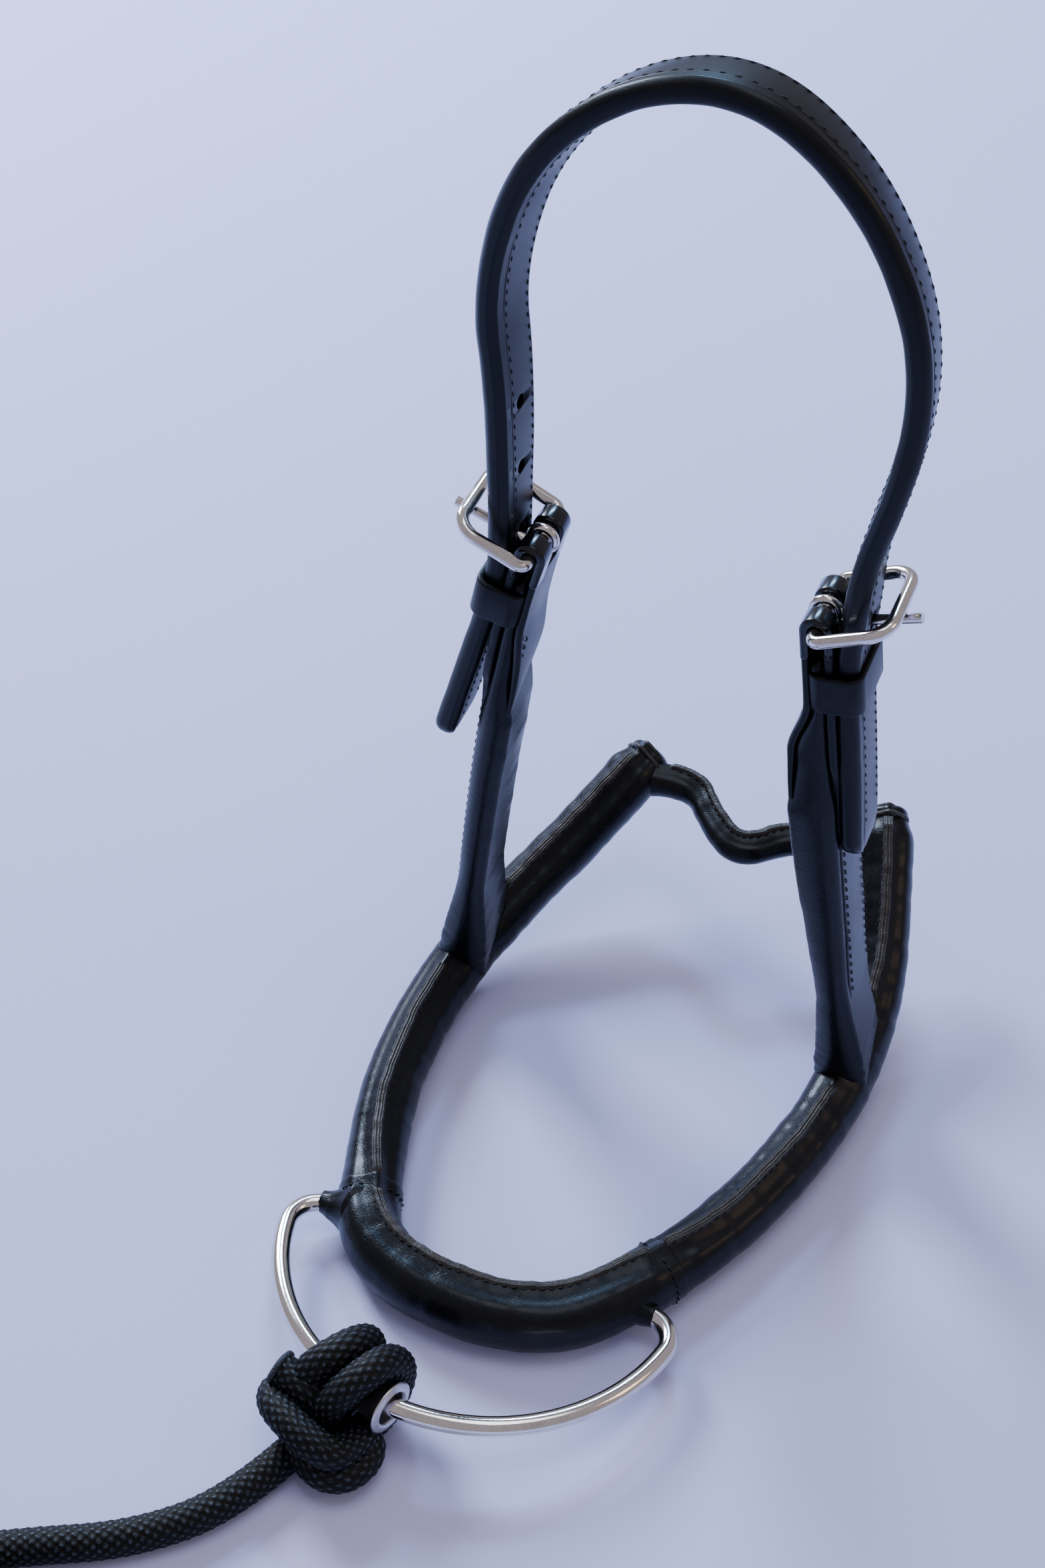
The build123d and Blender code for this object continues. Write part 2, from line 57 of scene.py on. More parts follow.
# Routes of the real pieces in millimetres: x, y and the rise above where the noseband lies on the floor.
TUBE_R = 10.0
LEFT_ARM = [(-31, 127, 40), (-45, 99, 24), (-60, 71, 11), (-70, 43, 2.5), (-73, 9, 0), (-69, -23, 0),
            (-61, -49, 0)]
FRONT = [(-55, -68, 0), (-41, -80, 0), (-10, -84, 0), (14, -78, 0), (28, -63, 0)]
RIGHT_ARM = [(46, -36, 0), (60, -3, 0), (69, 33, 1), (71, 63, 6), (67, 93, 18), (55, 130, 40)]
REAR_STRAP = [(-35, 119, 35.5), (-13, 125, 36), (1, 107, 34), (13, 99, 33), (27, 114, 34), (57.7, 121.7, 35)]
HEAD_Y = 49.0
LEFT_CHEEK = [(-42.5, 204), (-58, 148), (-68, 20)]
RIGHT_CHEEK = [(42.5, 204), (51.5, 135), (69.5, 20)]
LEFT_TAIL = [(-73.2, 120.6), (-66.2, 145.8), (-53.1, 192.6)]
ARCH = [(-52.5, 206), (-52.5, 256), (-56, 288), (-45, 327), (-18, 352), (12, 357), (39.5, 337), (56, 308),
        (61, 282), (59, 256), (52.5, 227), (52.5, 206)]
RIGHT_TAIL = [(51.9, 193.2), (59.6, 134), (61.1, 117.4)]
ROPE_R = 5.3
LEAD_Z = ROPE_R + 0.2
LEAD = [(-43, -143, LEAD_Z), (-52, -166, LEAD_Z), (-74, -187, LEAD_Z), (-103, -201, LEAD_Z),
        (-133, -218, LEAD_Z)]
COIL_R = 66.0
COIL_MIDDLE = (-116.5, -287.0)


# ---- lines and surfaces --------------------------------------------------------------------
def spline_points(control: list[tuple[float, ...]], resolution: int = 24) -> np.ndarray:
    """Points of the smooth line of order 3 that runs from the first control point to the last.

    Args:
        control: control points in millimetres.
        resolution: how many points each stretch is read at.

    Returns:
        The line's points in metres, one row each.
    """
    curve = bpy.data.curves.new("route", "CURVE")
    curve.dimensions = "3D"
    curve.resolution_u = resolution
    spline = curve.splines.new("NURBS")
    spline.points.add(len(control) - 1)
    rows = np.ones((len(control), 4))
    rows[:, :3] = np.array(control, float) * MM
    spline.points.foreach_set("co", rows.ravel())
    spline.order_u = 3
    spline.use_endpoint_u = True
    spline.resolution_u = resolution
    holder = bpy.data.objects.new("route", curve)
    bpy.context.scene.collection.objects.link(holder)
    bpy.context.view_layer.update()
    mesh = bpy.data.meshes.new_from_object(holder)
    points = np.zeros(len(mesh.vertices) * 3)
    mesh.vertices.foreach_get("co", points)
    bpy.data.meshes.remove(mesh)
    bpy.data.objects.remove(holder)
    bpy.data.curves.remove(curve)
    return points.reshape(-1, 3)


def unit(rows: np.ndarray) -> np.ndarray:
    """Rows scaled to length one."""
    return rows / np.maximum(np.linalg.norm(rows, axis=-1, keepdims=True), 1e-12)


@dataclass(frozen=True)
class Path:
    """A smooth line with the distance along it."""

    points: np.ndarray
    distance: np.ndarray

    @classmethod
    def through(cls, control: list[tuple[float, ...]], resolution: int = 24) -> "Path":
        """The smooth line of some control points in millimetres."""
        return cls.of(spline_points(control, resolution))

    @classmethod
    def of(cls, points: np.ndarray) -> "Path":
        """The line through points in metres."""
        steps = np.linalg.norm(np.diff(points, axis=0), axis=1)
        keep = np.concatenate([[True], steps > 1e-7])
        points = points[keep]
        steps = np.linalg.norm(np.diff(points, axis=0), axis=1)
        return cls(points, np.concatenate([[0.0], np.cumsum(steps)]))

    @property
    def length(self) -> float:
        """Length in metres."""
        return float(self.distance[-1])

    def at(self, s: np.ndarray) -> np.ndarray:
        """Points at distances along the line, and straight on past its ends.

        Args:
            s: distances in metres.

        Returns:
            One point for each distance.
        """
        s = np.asarray(s, float)
        inside = np.clip(s, 0, self.length)
        spots = np.stack([np.interp(inside, self.distance, self.points[:, k]) for k in range(3)], -1)
        first = unit(self.points[1] - self.points[0])
        last = unit(self.points[-1] - self.points[-2])
        return spots + np.minimum(s, 0)[..., None] * first + np.maximum(s - self.length, 0)[..., None] * last

    def heading(self, s: np.ndarray) -> np.ndarray:
        """Unit vectors along the line, each taken over two millimetres."""
        s = np.asarray(s, float)
        return unit(self.at(s + MM) - self.at(s - MM))

    def frames(self, s: np.ndarray, upward: np.ndarray) -> tuple[np.ndarray, np.ndarray, np.ndarray]:
        """Points, and at each the side and top directions of a piece that stands with a given upward.

        Args:
            s: distances in metres.
            upward: the direction that the top leans to, one or one for each distance.

        Returns:
            Points, side vectors and top vectors.
        """
        ahead = self.heading(s)
        top = upward - np.sum(upward * ahead, axis=-1, keepdims=True) * ahead
        top = unit(np.broadcast_to(top, ahead.shape))
        return self.at(s), np.cross(ahead, top), top

    def carried_frames(self, s: np.ndarray, upward: np.ndarray) -> tuple[np.ndarray, np.ndarray, np.ndarray]:
        """As frames, but the top is carried along the line from its start without twisting."""
        ahead = self.heading(s)
        tops = [unit(upward - np.dot(upward, ahead[0]) * ahead[0])]
        for here in ahead[1:]:
            tops.append(unit(tops[-1] - np.dot(tops[-1], here) * here))
        top = np.array(tops)
        return self.at(s), np.cross(ahead, top), top

    def nearest(self, spot: tuple[float, float, float]) -> float:
        """Distance along the line to its point nearest a spot in millimetres."""
        gaps = np.linalg.norm(self.points - np.array(spot) * MM, axis=1)
        return float(self.distance[int(np.argmin(gaps))])


def bump(x: np.ndarray, middle: float, width: float) -> np.ndarray:
    """A smooth hill of height one: e to the minus square of the distance over the width."""
    return np.exp(-(((x - middle) / width) ** 2))


def ease(x: np.ndarray, start: float, end: float) -> np.ndarray:
    """Rises from 0 at start to 1 at end, with level ends."""
    t = np.clip((x - start) / (end - start), 0, 1)
    return t * t * (3 - 2 * t)


def drift(s: np.ndarray, seed: int, wave: float) -> np.ndarray:
    """A slow random wander from about -1 to 1: five sines of near wavelengths with seeded phases."""
    rng = np.random.default_rng(seed)
    total = np.zeros_like(s)
    for share in (1.0, 0.62, 0.41, 0.27, 0.17):
        total = total + share ** 0.5 * np.sin(2 * pi * s / (wave * share) + rng.uniform(0, 2 * pi))
    return total / 3.2


def swept(centre: np.ndarray, side: np.ndarray, top: np.ndarray, across: np.ndarray,
          height: np.ndarray) -> np.ndarray:
    """A profile carried along a path: centre plus across times side plus height times top.

    Args:
        centre: path points, (rows, 3).
        side: side directions.
        top: top directions.
        across: profile coordinate along side in metres, (rows, columns) or (columns,).
        height: profile coordinate along top.

    Returns:
        Grid of points (rows, columns, 3).
    """
    rows = len(centre)
    sideways = np.broadcast_to(across, (rows, across.shape[-1]))[..., None] * side[:, None]
    upwards = np.broadcast_to(height, (rows, height.shape[-1]))[..., None] * top[:, None]
    return centre[:, None] + sideways + upwards


def surface(name: str, grid: np.ndarray, capped: bool = True) -> bpy.types.Object:
    """A mesh from a grid of points, closed around its columns. Its map runs round it and, in metres, along it.

    Args:
        name: the piece's name.
        grid: points (rows, columns, 3).
        capped: whether each end is closed by a fan to its middle.

    Returns:
        The new object, at the origin.
    """
    rows, columns, _ = grid.shape
    vertices = grid.reshape(-1, 3)
    index = np.arange(rows * columns).reshape(rows, columns)
    following = np.roll(index, -1, axis=1)
    quads = np.stack([index[:-1], following[:-1], following[1:], index[1:]], -1).reshape(-1, 4)
    faces = quads.tolist()
    if capped:
        ends = np.array([grid[0].mean(0), grid[-1].mean(0)])
        vertices = np.concatenate([vertices, ends])
        first, last = rows * columns, rows * columns + 1
        faces += np.stack([np.full(columns, first), following[0], index[0]], -1).tolist()
        faces += np.stack([np.full(columns, last), index[-1], following[-1]], -1).tolist()
    corners = vertices[quads]
    volume = np.einsum("ij,ij->i", corners[:, 0], np.cross(corners[:, 1], corners[:, 2]))
    volume += np.einsum("ij,ij->i", corners[:, 0], np.cross(corners[:, 2], corners[:, 3]))
    if volume.sum() < 0:
        faces = [face[::-1] for face in faces]
    mesh = bpy.data.meshes.new(name)
    mesh.from_pydata(vertices.tolist(), [], faces)
    lengths = np.concatenate([[0], np.cumsum(np.linalg.norm(np.diff(grid[:, 0], axis=0), axis=1))])
    around = np.tile(np.arange(columns) / columns, rows)
    onward = np.repeat(lengths, columns)
    extra = len(vertices) - rows * columns
    around = np.concatenate([around, np.full(extra, 0.5)])
    onward = np.concatenate([onward, np.array([0, onward[-1]])[:extra]])
    layer = mesh.uv_layers.new(name="UVMap")
    loops = np.zeros(len(mesh.loops), int)
    mesh.loops.foreach_get("vertex_index", loops)
    flat = np.stack([around[loops], onward[loops]], -1)
    counts = np.array([len(face) for face in faces])
    starts = np.concatenate([[0], np.cumsum(counts)[:-1]])
    face_of = np.repeat(np.arange(len(faces)), counts)
    high = np.maximum.reduceat(flat[:, 0], starts)[face_of]
    flat[(high > 0.75) & (flat[:, 0] < 0.25), 0] += 1.0
    layer.data.foreach_set("uv", flat.ravel())
    mesh.polygons.foreach_set("use_smooth", np.ones(len(faces), bool))
    mesh.update()
    piece = bpy.data.objects.new(name, mesh)
    bpy.context.scene.collection.objects.link(piece)
    return piece


def rounded_box(half_w: float, half_t: float, corner: float,
                columns: int = 40) -> tuple[np.ndarray, np.ndarray]:
    """Outline of a rectangle with round corners, walked round by its angle.

    Args:
        half_w: half the width.
        half_t: half the thickness.
        corner: corner radius.
        columns: how many points.

    Returns:
        Two arrays, the coordinate across and the height.
    """
    per = columns // 4
    turn = np.concatenate([np.linspace(k * pi / 2, (k + 1) * pi / 2, per) for k in range(4)])
    sign_x = np.repeat([1, -1, -1, 1], per)
    sign_y = np.repeat([1, 1, -1, -1], per)
    across = sign_x * (half_w - corner) + corner * np.cos(turn)
    height = sign_y * (half_t - corner) + corner * np.sin(turn)
    return across, height


def stitch_row(name: str, path: Path, start: float, end: float, across: float, height: float, pitch: float,
               upward: np.ndarray | Callable, long: float = 2.2, thick: float = 0.55, slant: float = 0.12,
               normal: tuple[float, float] = (0.0, 1.0)) -> bpy.types.Object:
    """A row of single stitches: each is a small arched bead, highest in its middle, sunk at its ends.

    Args:
        name: the piece's name.
        path: the line that the row follows.
        start: where it starts along the path, in millimetres.
        end: where it ends.
        across: offset to the side in millimetres.
        height: offset to the top.
        pitch: from stitch to stitch.
        upward: the top direction, as for Path.frames, or a function of the distance that gives it.
        long: length of a stitch.
        thick: thickness of the thread.
        slant: how far each stitch turns from the row, in radians.
        normal: side and top parts of the direction that the stitches stand out in.

    Returns:
        The new object.
    """
    count = max(2, int((end - start) / pitch))
    s = (start + (np.arange(count) + 0.5) * pitch) * MM
    centre, side, top = path.frames(s, upward(s) if callable(upward) else upward)
    ahead = path.heading(s)
    out = normal[0] * side + normal[1] * top
    sideways = np.cross(out, ahead)
    spot = centre + across * MM * side + height * MM * top
    along = np.array([-1.0, -0.72, 0.0, 0.72, 1.0])
    girth = np.array([0.35, 0.85, 1.0, 0.85, 0.35])
    lift = np.array([-0.55, 0.1, 0.45, 0.1, -0.55])
    sides = 6
    turn = np.linspace(0, 2 * pi, sides, endpoint=False)
    x = (along * long / 2)[:, None] * np.ones(sides)
    y = 0.5 * thick * girth[:, None] * np.cos(turn) + slant * x
    z = 0.5 * thick * girth[:, None] * np.sin(turn) + (lift * thick)[:, None]
    points = (spot[:, None, None] + x[None, ..., None] * MM * ahead[:, None, None]
              + y[None, ..., None] * MM * sideways[:, None, None]
              + z[None, ..., None] * MM * out[:, None, None])
    index = np.arange(len(along) * sides).reshape(len(along), sides)
    right = np.roll(index, -1, axis=1)
    quads = np.stack([index[:-1], right[:-1], right[1:], index[1:]], -1).reshape(-1, 4)
    bases = (np.arange(count) * index.size)[:, None, None]
    faces = (bases + quads[None]).reshape(-1, 4).tolist()
    faces += (bases[:, 0] + index[0][::-1]).tolist() + (bases[:, 0] + index[-1]).tolist()
    mesh = bpy.data.meshes.new(name)
    mesh.from_pydata(points.reshape(-1, 3).tolist(), [], faces)
    mesh.polygons.foreach_set("use_smooth", np.ones(len(faces), bool))
    mesh.update()
    piece = bpy.data.objects.new(name, mesh)
    bpy.context.scene.collection.objects.link(piece)
    return piece


# ---- finishes --------------------------------------------------------------------------------
class Nodes:
    """A node tree with short ways to add and join its nodes."""

    def __init__(self, tree: bpy.types.NodeTree) -> None:
        """Keep the tree."""
        self.tree = tree

    def add(self, kind: str, **values: object) -> bpy.types.Node:
        """Add a node. A name that starts with an underscore sets a property, and others set a socket.

        Args:
            kind: the node's type.
            values: properties, or socket values, with underscores for spaces.

        Returns:
            The new node.
        """
        node = self.tree.nodes.new(kind)
        for key, value in values.items():
            if key.startswith("_"):
                setattr(node, key[1:], value)
            elif isinstance(value, bpy.types.NodeSocket):
                self.tree.links.new(value, node.inputs[key.replace("_", " ")])
            else:
                node.inputs[key.replace("_", " ")].default_value = value
        return node

    def math(self, operation: str, first: object, second: object = 0.0,
             clamp: bool = False) -> bpy.types.NodeSocket:
        """The result of a Math node on two sockets or numbers."""
        node = self.tree.nodes.new("ShaderNodeMath")
        node.operation = operation
        node.use_clamp = clamp
        for slot, value in zip(node.inputs, (first, second)):
            if isinstance(value, bpy.types.NodeSocket):
                self.tree.links.new(value, slot)
            else:
                slot.default_value = value
        return node.outputs[0]

    def ramp(self, value: bpy.types.NodeSocket, low: float, high: float) -> bpy.types.NodeSocket:
        """Stretch a value so that low becomes 0 and high becomes 1."""
        node = self.tree.nodes.new("ShaderNodeMapRange")
        self.tree.links.new(value, node.inputs["Value"])
        node.inputs["From Min"].default_value = low
        node.inputs["From Max"].default_value = high
        return node.outputs["Result"]

    def blend(self, share: bpy.types.NodeSocket, first: object, second: object) -> bpy.types.NodeSocket:
        """Mix two colours."""
        node = self.tree.nodes.new("ShaderNodeMix")
        node.data_type = "RGBA"
        self.tree.links.new(share, node.inputs["Factor"])
        for slot, value in ((node.inputs[6], first), (node.inputs[7], second)):
            if isinstance(value, bpy.types.NodeSocket):
                self.tree.links.new(value, slot)
            else:
                slot.default_value = (*value, 1.0)
        return node.outputs[2]


def grain_group() -> bpy.types.NodeTree:
    """Leather grain: fine cells, long soft creases and a slow unevenness, put out as heights and a mask."""
    tree = bpy.data.node_groups.new("leather_grain", "ShaderNodeTree")
    for name, kind, start in (("Scale", "NodeSocketFloat", 1.0), ("Crease", "NodeSocketFloat", 0.5)):
        socket = tree.interface.new_socket(name, in_out="INPUT", socket_type=kind)
        socket.default_value = start
    for name in ("Height", "Wear", "Tone"):
        tree.interface.new_socket(name, in_out="OUTPUT", socket_type="NodeSocketFloat")
    n = Nodes(tree)
    taken = n.add("NodeGroupInput")
    given = n.add("NodeGroupOutput")
    place = n.add("ShaderNodeTexCoord").outputs["Object"]
    fine_scale = n.math("MULTIPLY", taken.outputs["Scale"], 1500.0)
    cells = n.add("ShaderNodeTexVoronoi", Vector=place, Scale=fine_scale, _feature="DISTANCE_TO_EDGE")
    pores = n.add("ShaderNodeTexNoise", Vector=place, Scale=n.math("MULTIPLY", taken.outputs["Scale"], 900.0),
                  Detail=3.0)
    creases = n.add("ShaderNodeTexNoise", Vector=place, Scale=110.0, Detail=5.0, Distortion=1.2)
    off_line = n.math("ABSOLUTE", n.math("SUBTRACT", creases.outputs[0], 0.5))
    lines = n.math("SUBTRACT", 1.0, n.ramp(off_line, 0.0, 0.06), clamp=True)
    slow = n.add("ShaderNodeTexNoise", Vector=place, Scale=32.0, Detail=3.0)
    cell = n.ramp(cells.outputs["Distance"], 0.0, 0.35)
    height = n.math("ADD", n.math("MULTIPLY", cell, 0.55), n.math("MULTIPLY", pores.outputs[0], 0.5))
    height = n.math("SUBTRACT", height, n.math("MULTIPLY", lines, taken.outputs["Crease"]))
    tree.links.new(height, given.inputs["Height"])
    tree.links.new(n.ramp(slow.outputs[0], 0.42, 0.68), given.inputs["Wear"])
    tree.links.new(n.ramp(creases.outputs[0], 0.3, 0.75), given.inputs["Tone"])
    return tree


def scuff_group() -> bpy.types.NodeTree:
    """Handling marks on metal: fine streaks and smears, as one mask."""
    tree = bpy.data.node_groups.new("metal_scuffs", "ShaderNodeTree")
    socket = tree.interface.new_socket("Scale", in_out="INPUT", socket_type="NodeSocketFloat")
    socket.default_value = 1.0
    tree.interface.new_socket("Mask", in_out="OUTPUT", socket_type="NodeSocketFloat")
    n = Nodes(tree)
    taken = n.add("NodeGroupInput")
    given = n.add("NodeGroupOutput")
    place = n.add("ShaderNodeTexCoord").outputs["Object"]
    streak = n.add("ShaderNodeMapping", Vector=place, Scale=(1.0, 0.25, 1.0), Rotation=(0.3, 0.2, 0.5))
    fine = n.add("ShaderNodeTexNoise", Vector=streak.outputs[0],
                 Scale=n.math("MULTIPLY", taken.outputs["Scale"], 1400.0), Detail=4.0)
    smear = n.add("ShaderNodeTexNoise", Vector=place, Scale=n.math("MULTIPLY", taken.outputs["Scale"], 140.0),
                  Detail=2.0)
    mask = n.math("ADD", n.math("MULTIPLY", n.ramp(fine.outputs[0], 0.45, 0.75), 0.45),
                  n.math("MULTIPLY", n.ramp(smear.outputs[0], 0.4, 0.7), 0.55), clamp=True)
    tree.links.new(mask, given.inputs["Mask"])
    return tree


GROUPS: dict[str, bpy.types.NodeTree] = {}


def placed_group(n: Nodes, maker: object, **values: float) -> bpy.types.Node:
    """A shared group's node in a material, built the first time that it is asked for."""
    key = maker.__name__
    if key not in GROUPS:
        GROUPS[key] = maker()
    node = n.tree.nodes.new("ShaderNodeGroup")
    node.node_tree = GROUPS[key]
    for name, value in values.items():
        node.inputs[name].default_value = value
    return node


def new_material(name: str) -> tuple[bpy.types.Material, Nodes, bpy.types.Node]:
    """An empty material, its nodes and its Principled shader."""
    material = bpy.data.materials.new(name)
    material.use_nodes = True
    return material, Nodes(material.node_tree), material.node_tree.nodes["Principled BSDF"]


@dataclass(frozen=True)
class LeatherFinish:
    """Dyed leather with grain, creases and a dressing that shines."""

    name: str
    dark: tuple[float, float, float] = (0.0026, 0.0025, 0.0032)
    worn: tuple[float, float, float] = (0.0062, 0.0042, 0.0036)
    gloss: float = 0.27
    spread: float = 0.13
    scale: float = 1.0
    crease: float = 0.35
    relief: float = 0.00005
    coat: float = 0.11

    def make(self) -> bpy.types.Material:
        """Build the material."""
        material, n, shader = new_material(self.name)
        grain = placed_group(n, grain_group, Scale=self.scale, Crease=self.crease)
        rubbed = n.math("MULTIPLY", grain.outputs["Wear"], grain.outputs["Tone"])
        colour = n.blend(rubbed, self.dark, self.worn)
        n.tree.links.new(colour, shader.inputs["Base Color"])
        rough = n.math("ADD", self.gloss, n.math("MULTIPLY", grain.outputs["Wear"], self.spread))
        n.tree.links.new(rough, shader.inputs["Roughness"])
        relief = n.add("ShaderNodeBump", Strength=0.9, Distance=self.relief, Height=grain.outputs["Height"])
        n.tree.links.new(relief.outputs[0], shader.inputs["Normal"])
        shader.inputs["Specular IOR Level"].default_value = 0.19
        shader.inputs["Specular Tint"].default_value = (0.72, 0.86, 1.0, 1.0)
        shader.inputs["Coat Weight"].default_value = self.coat
        shader.inputs["Coat Roughness"].default_value = 0.16
        shader.inputs["Coat Tint"].default_value = (0.75, 0.88, 1.0, 1.0)
        return material


@dataclass(frozen=True)
class CutEdgeFinish:
    """Raw cut edges of leather: several dark layers with a rough, waxed face."""

    name: str

    def make(self) -> bpy.types.Material:
        """Build the material."""
        material, n, shader = new_material(self.name)
        place = n.add("ShaderNodeTexCoord").outputs["Object"]
        crumb = n.add("ShaderNodeTexNoise", Vector=place, Scale=1300.0, Detail=5.0)
        patch = n.add("ShaderNodeTexNoise", Vector=place, Scale=300.0, Detail=3.0)
        colour = n.blend(n.ramp(patch.outputs[0], 0.4, 0.7), (0.005, 0.0045, 0.005), (0.022, 0.017, 0.015))
        n.tree.links.new(colour, shader.inputs["Base Color"])
        rough = n.math("ADD", 0.34, n.math("MULTIPLY", crumb.outputs[0], 0.35))
        n.tree.links.new(rough, shader.inputs["Roughness"])
        relief = n.add("ShaderNodeBump", Strength=1.0, Distance=0.00025, Height=crumb.outputs[0])
        n.tree.links.new(relief.outputs[0], shader.inputs["Normal"])
        shader.inputs["Coat Weight"].default_value = 0.1
        return material


@dataclass(frozen=True)
class ThreadFinish:
    """Waxed twisted thread."""

    name: str
    colour: tuple[float, float, float] = (0.007, 0.007, 0.009)

    def make(self) -> bpy.types.Material:
        """Build the material."""
        material, n, shader = new_material(self.name)
        place = n.add("ShaderNodeTexCoord").outputs["Object"]
        ply = n.add("ShaderNodeTexWave", Vector=place, Scale=900.0, Distortion=2.0,
                    _bands_direction="DIAGONAL")
        tone = n.blend(ply.outputs["Fac"], self.colour, tuple(3 * c for c in self.colour))
        n.tree.links.new(tone, shader.inputs["Base Color"])
        rough = n.math("ADD", 0.5, n.math("MULTIPLY", ply.outputs["Fac"], 0.25))
        n.tree.links.new(rough, shader.inputs["Roughness"])
        shader.inputs["Specular IOR Level"].default_value = 0.2
        relief = n.add("ShaderNodeBump", Strength=0.7, Distance=0.0001, Height=ply.outputs["Fac"])
        n.tree.links.new(relief.outputs[0], shader.inputs["Normal"])
        return material


@dataclass(frozen=True)
class MetalFinish:
    """Metal with handling marks."""

    name: str
    bright: tuple[float, float, float] = (0.78, 0.76, 0.73)
    dull: tuple[float, float, float] = (0.60, 0.57, 0.53)
    gloss: float = 0.09
    spread: float = 0.14
    relief: float = 0.00001

    def make(self) -> bpy.types.Material:
        """Build the material."""
        material, n, shader = new_material(self.name)
        scuffs = placed_group(n, scuff_group, Scale=1.0)
        n.tree.links.new(n.blend(scuffs.outputs["Mask"], self.bright, self.dull), shader.inputs["Base Color"])
        rough = n.math("ADD", self.gloss, n.math("MULTIPLY", scuffs.outputs["Mask"], self.spread))
        n.tree.links.new(rough, shader.inputs["Roughness"])
        relief = n.add("ShaderNodeBump", Strength=0.4, Distance=self.relief, Height=scuffs.outputs["Mask"])
        n.tree.links.new(relief.outputs[0], shader.inputs["Normal"])
        shader.inputs["Metallic"].default_value = 1.0
        return material


@dataclass(frozen=True)
class BraidFinish:
    """Braided filament yarn: each pick has fine threads that run along it; painted shade darkens the gaps
    between picks and a painted glint lightens each crown.
    """

    name: str

    def make(self) -> bpy.types.Material:
        """Build the material. The attribute pick is 0 in the gaps between picks and 1 on their crowns."""
        material, n, shader = new_material(self.name)
        pick = n.add("ShaderNodeAttribute", _attribute_name="pick").outputs["Fac"]
        place = n.add("ShaderNodeTexCoord").outputs["Object"]
        threads = n.add("ShaderNodeTexNoise", Vector=place, Scale=1700.0, Detail=2.0)
        crown = n.ramp(pick, 0.62, 1.0)
        # painted shade: the colour is darkest in the gaps between picks and lighter on their crowns
        painted_gap_shade = n.blend(n.ramp(pick, 0.15, 0.8), (0.0008, 0.0008, 0.001), (0.0045, 0.0048, 0.0062))
        # painted highlight: a bluish-white glint mixed into the colour on each pick's crown, along its threads
        painted_glint_mask = n.math("MULTIPLY", crown, n.ramp(threads.outputs[0], 0.42, 0.62), clamp=True)
        n.tree.links.new(n.blend(painted_glint_mask, painted_gap_shade, (0.060, 0.090, 0.130)), shader.inputs["Base Color"])
        n.tree.links.new(n.math("SUBTRACT", 0.6, n.math("MULTIPLY", crown, 0.22)), shader.inputs["Roughness"])
        relief = n.add("ShaderNodeBump", Strength=0.6, Distance=0.00012, Height=threads.outputs[0])
        n.tree.links.new(relief.outputs[0], shader.inputs["Normal"])
        shader.inputs["Specular IOR Level"].default_value = 0.2
        return material


class Finish(Enum):
    """Every finish on the headcollar."""

    NOSE_LEATHER = LeatherFinish("nose_leather", relief=0.00006, crease=0.45)
    STRAP_LEATHER = LeatherFinish("strap_leather", gloss=0.34, scale=1.15, crease=0.2, relief=0.00004)
    FACING_LEATHER = LeatherFinish("facing_leather", dark=(0.0045, 0.0047, 0.0066),
                                   worn=(0.009, 0.008, 0.0095), gloss=0.36, scale=1.3, crease=0.12,
                                   relief=0.00003, coat=0.12)
    CHAPE_LEATHER = LeatherFinish("chape_leather", gloss=0.17, spread=0.1, scale=1.2, crease=0.15,
                                  relief=0.000025, coat=0.6)
    CUT_EDGE = CutEdgeFinish("cut_edge")
    THREAD = ThreadFinish("waxed_thread")
    STEEL = MetalFinish("polished_steel")
    ALLOY = MetalFinish("dull_alloy", (0.62, 0.62, 0.64), (0.40, 0.40, 0.42), 0.30, 0.22, 0.00004)
    BRAID = BraidFinish("braided_yarn")
    SEALED = LeatherFinish("heat_sealed_end", dark=(0.035, 0.04, 0.055), worn=(0.07, 0.08, 0.10), gloss=0.5,
                           spread=0.2, scale=0.6, crease=0.9, relief=0.0003, coat=0.0)

    def dress(self, piece: bpy.types.Object) -> bpy.types.Object:
        """Give a piece this finish, built the first time that it is used."""
        found = bpy.data.materials.get(self.value.name) or self.value.make()
        if piece.data.materials:
            piece.data.materials.clear()
        piece.data.materials.append(found)
        return piece


def settle(piece: bpy.types.Object, finish: Finish, slot: str, body: str, *nodes: str) -> bpy.types.Object:
    """Dress a piece, let it ride on a body and stand for CAD nodes."""
    finish.dress(piece)
    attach(piece, body)
    if nodes:
        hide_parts(*nodes)
    log.info("%s on %s, %d faces", piece.name, body, len(piece.data.polygons))
    return piece


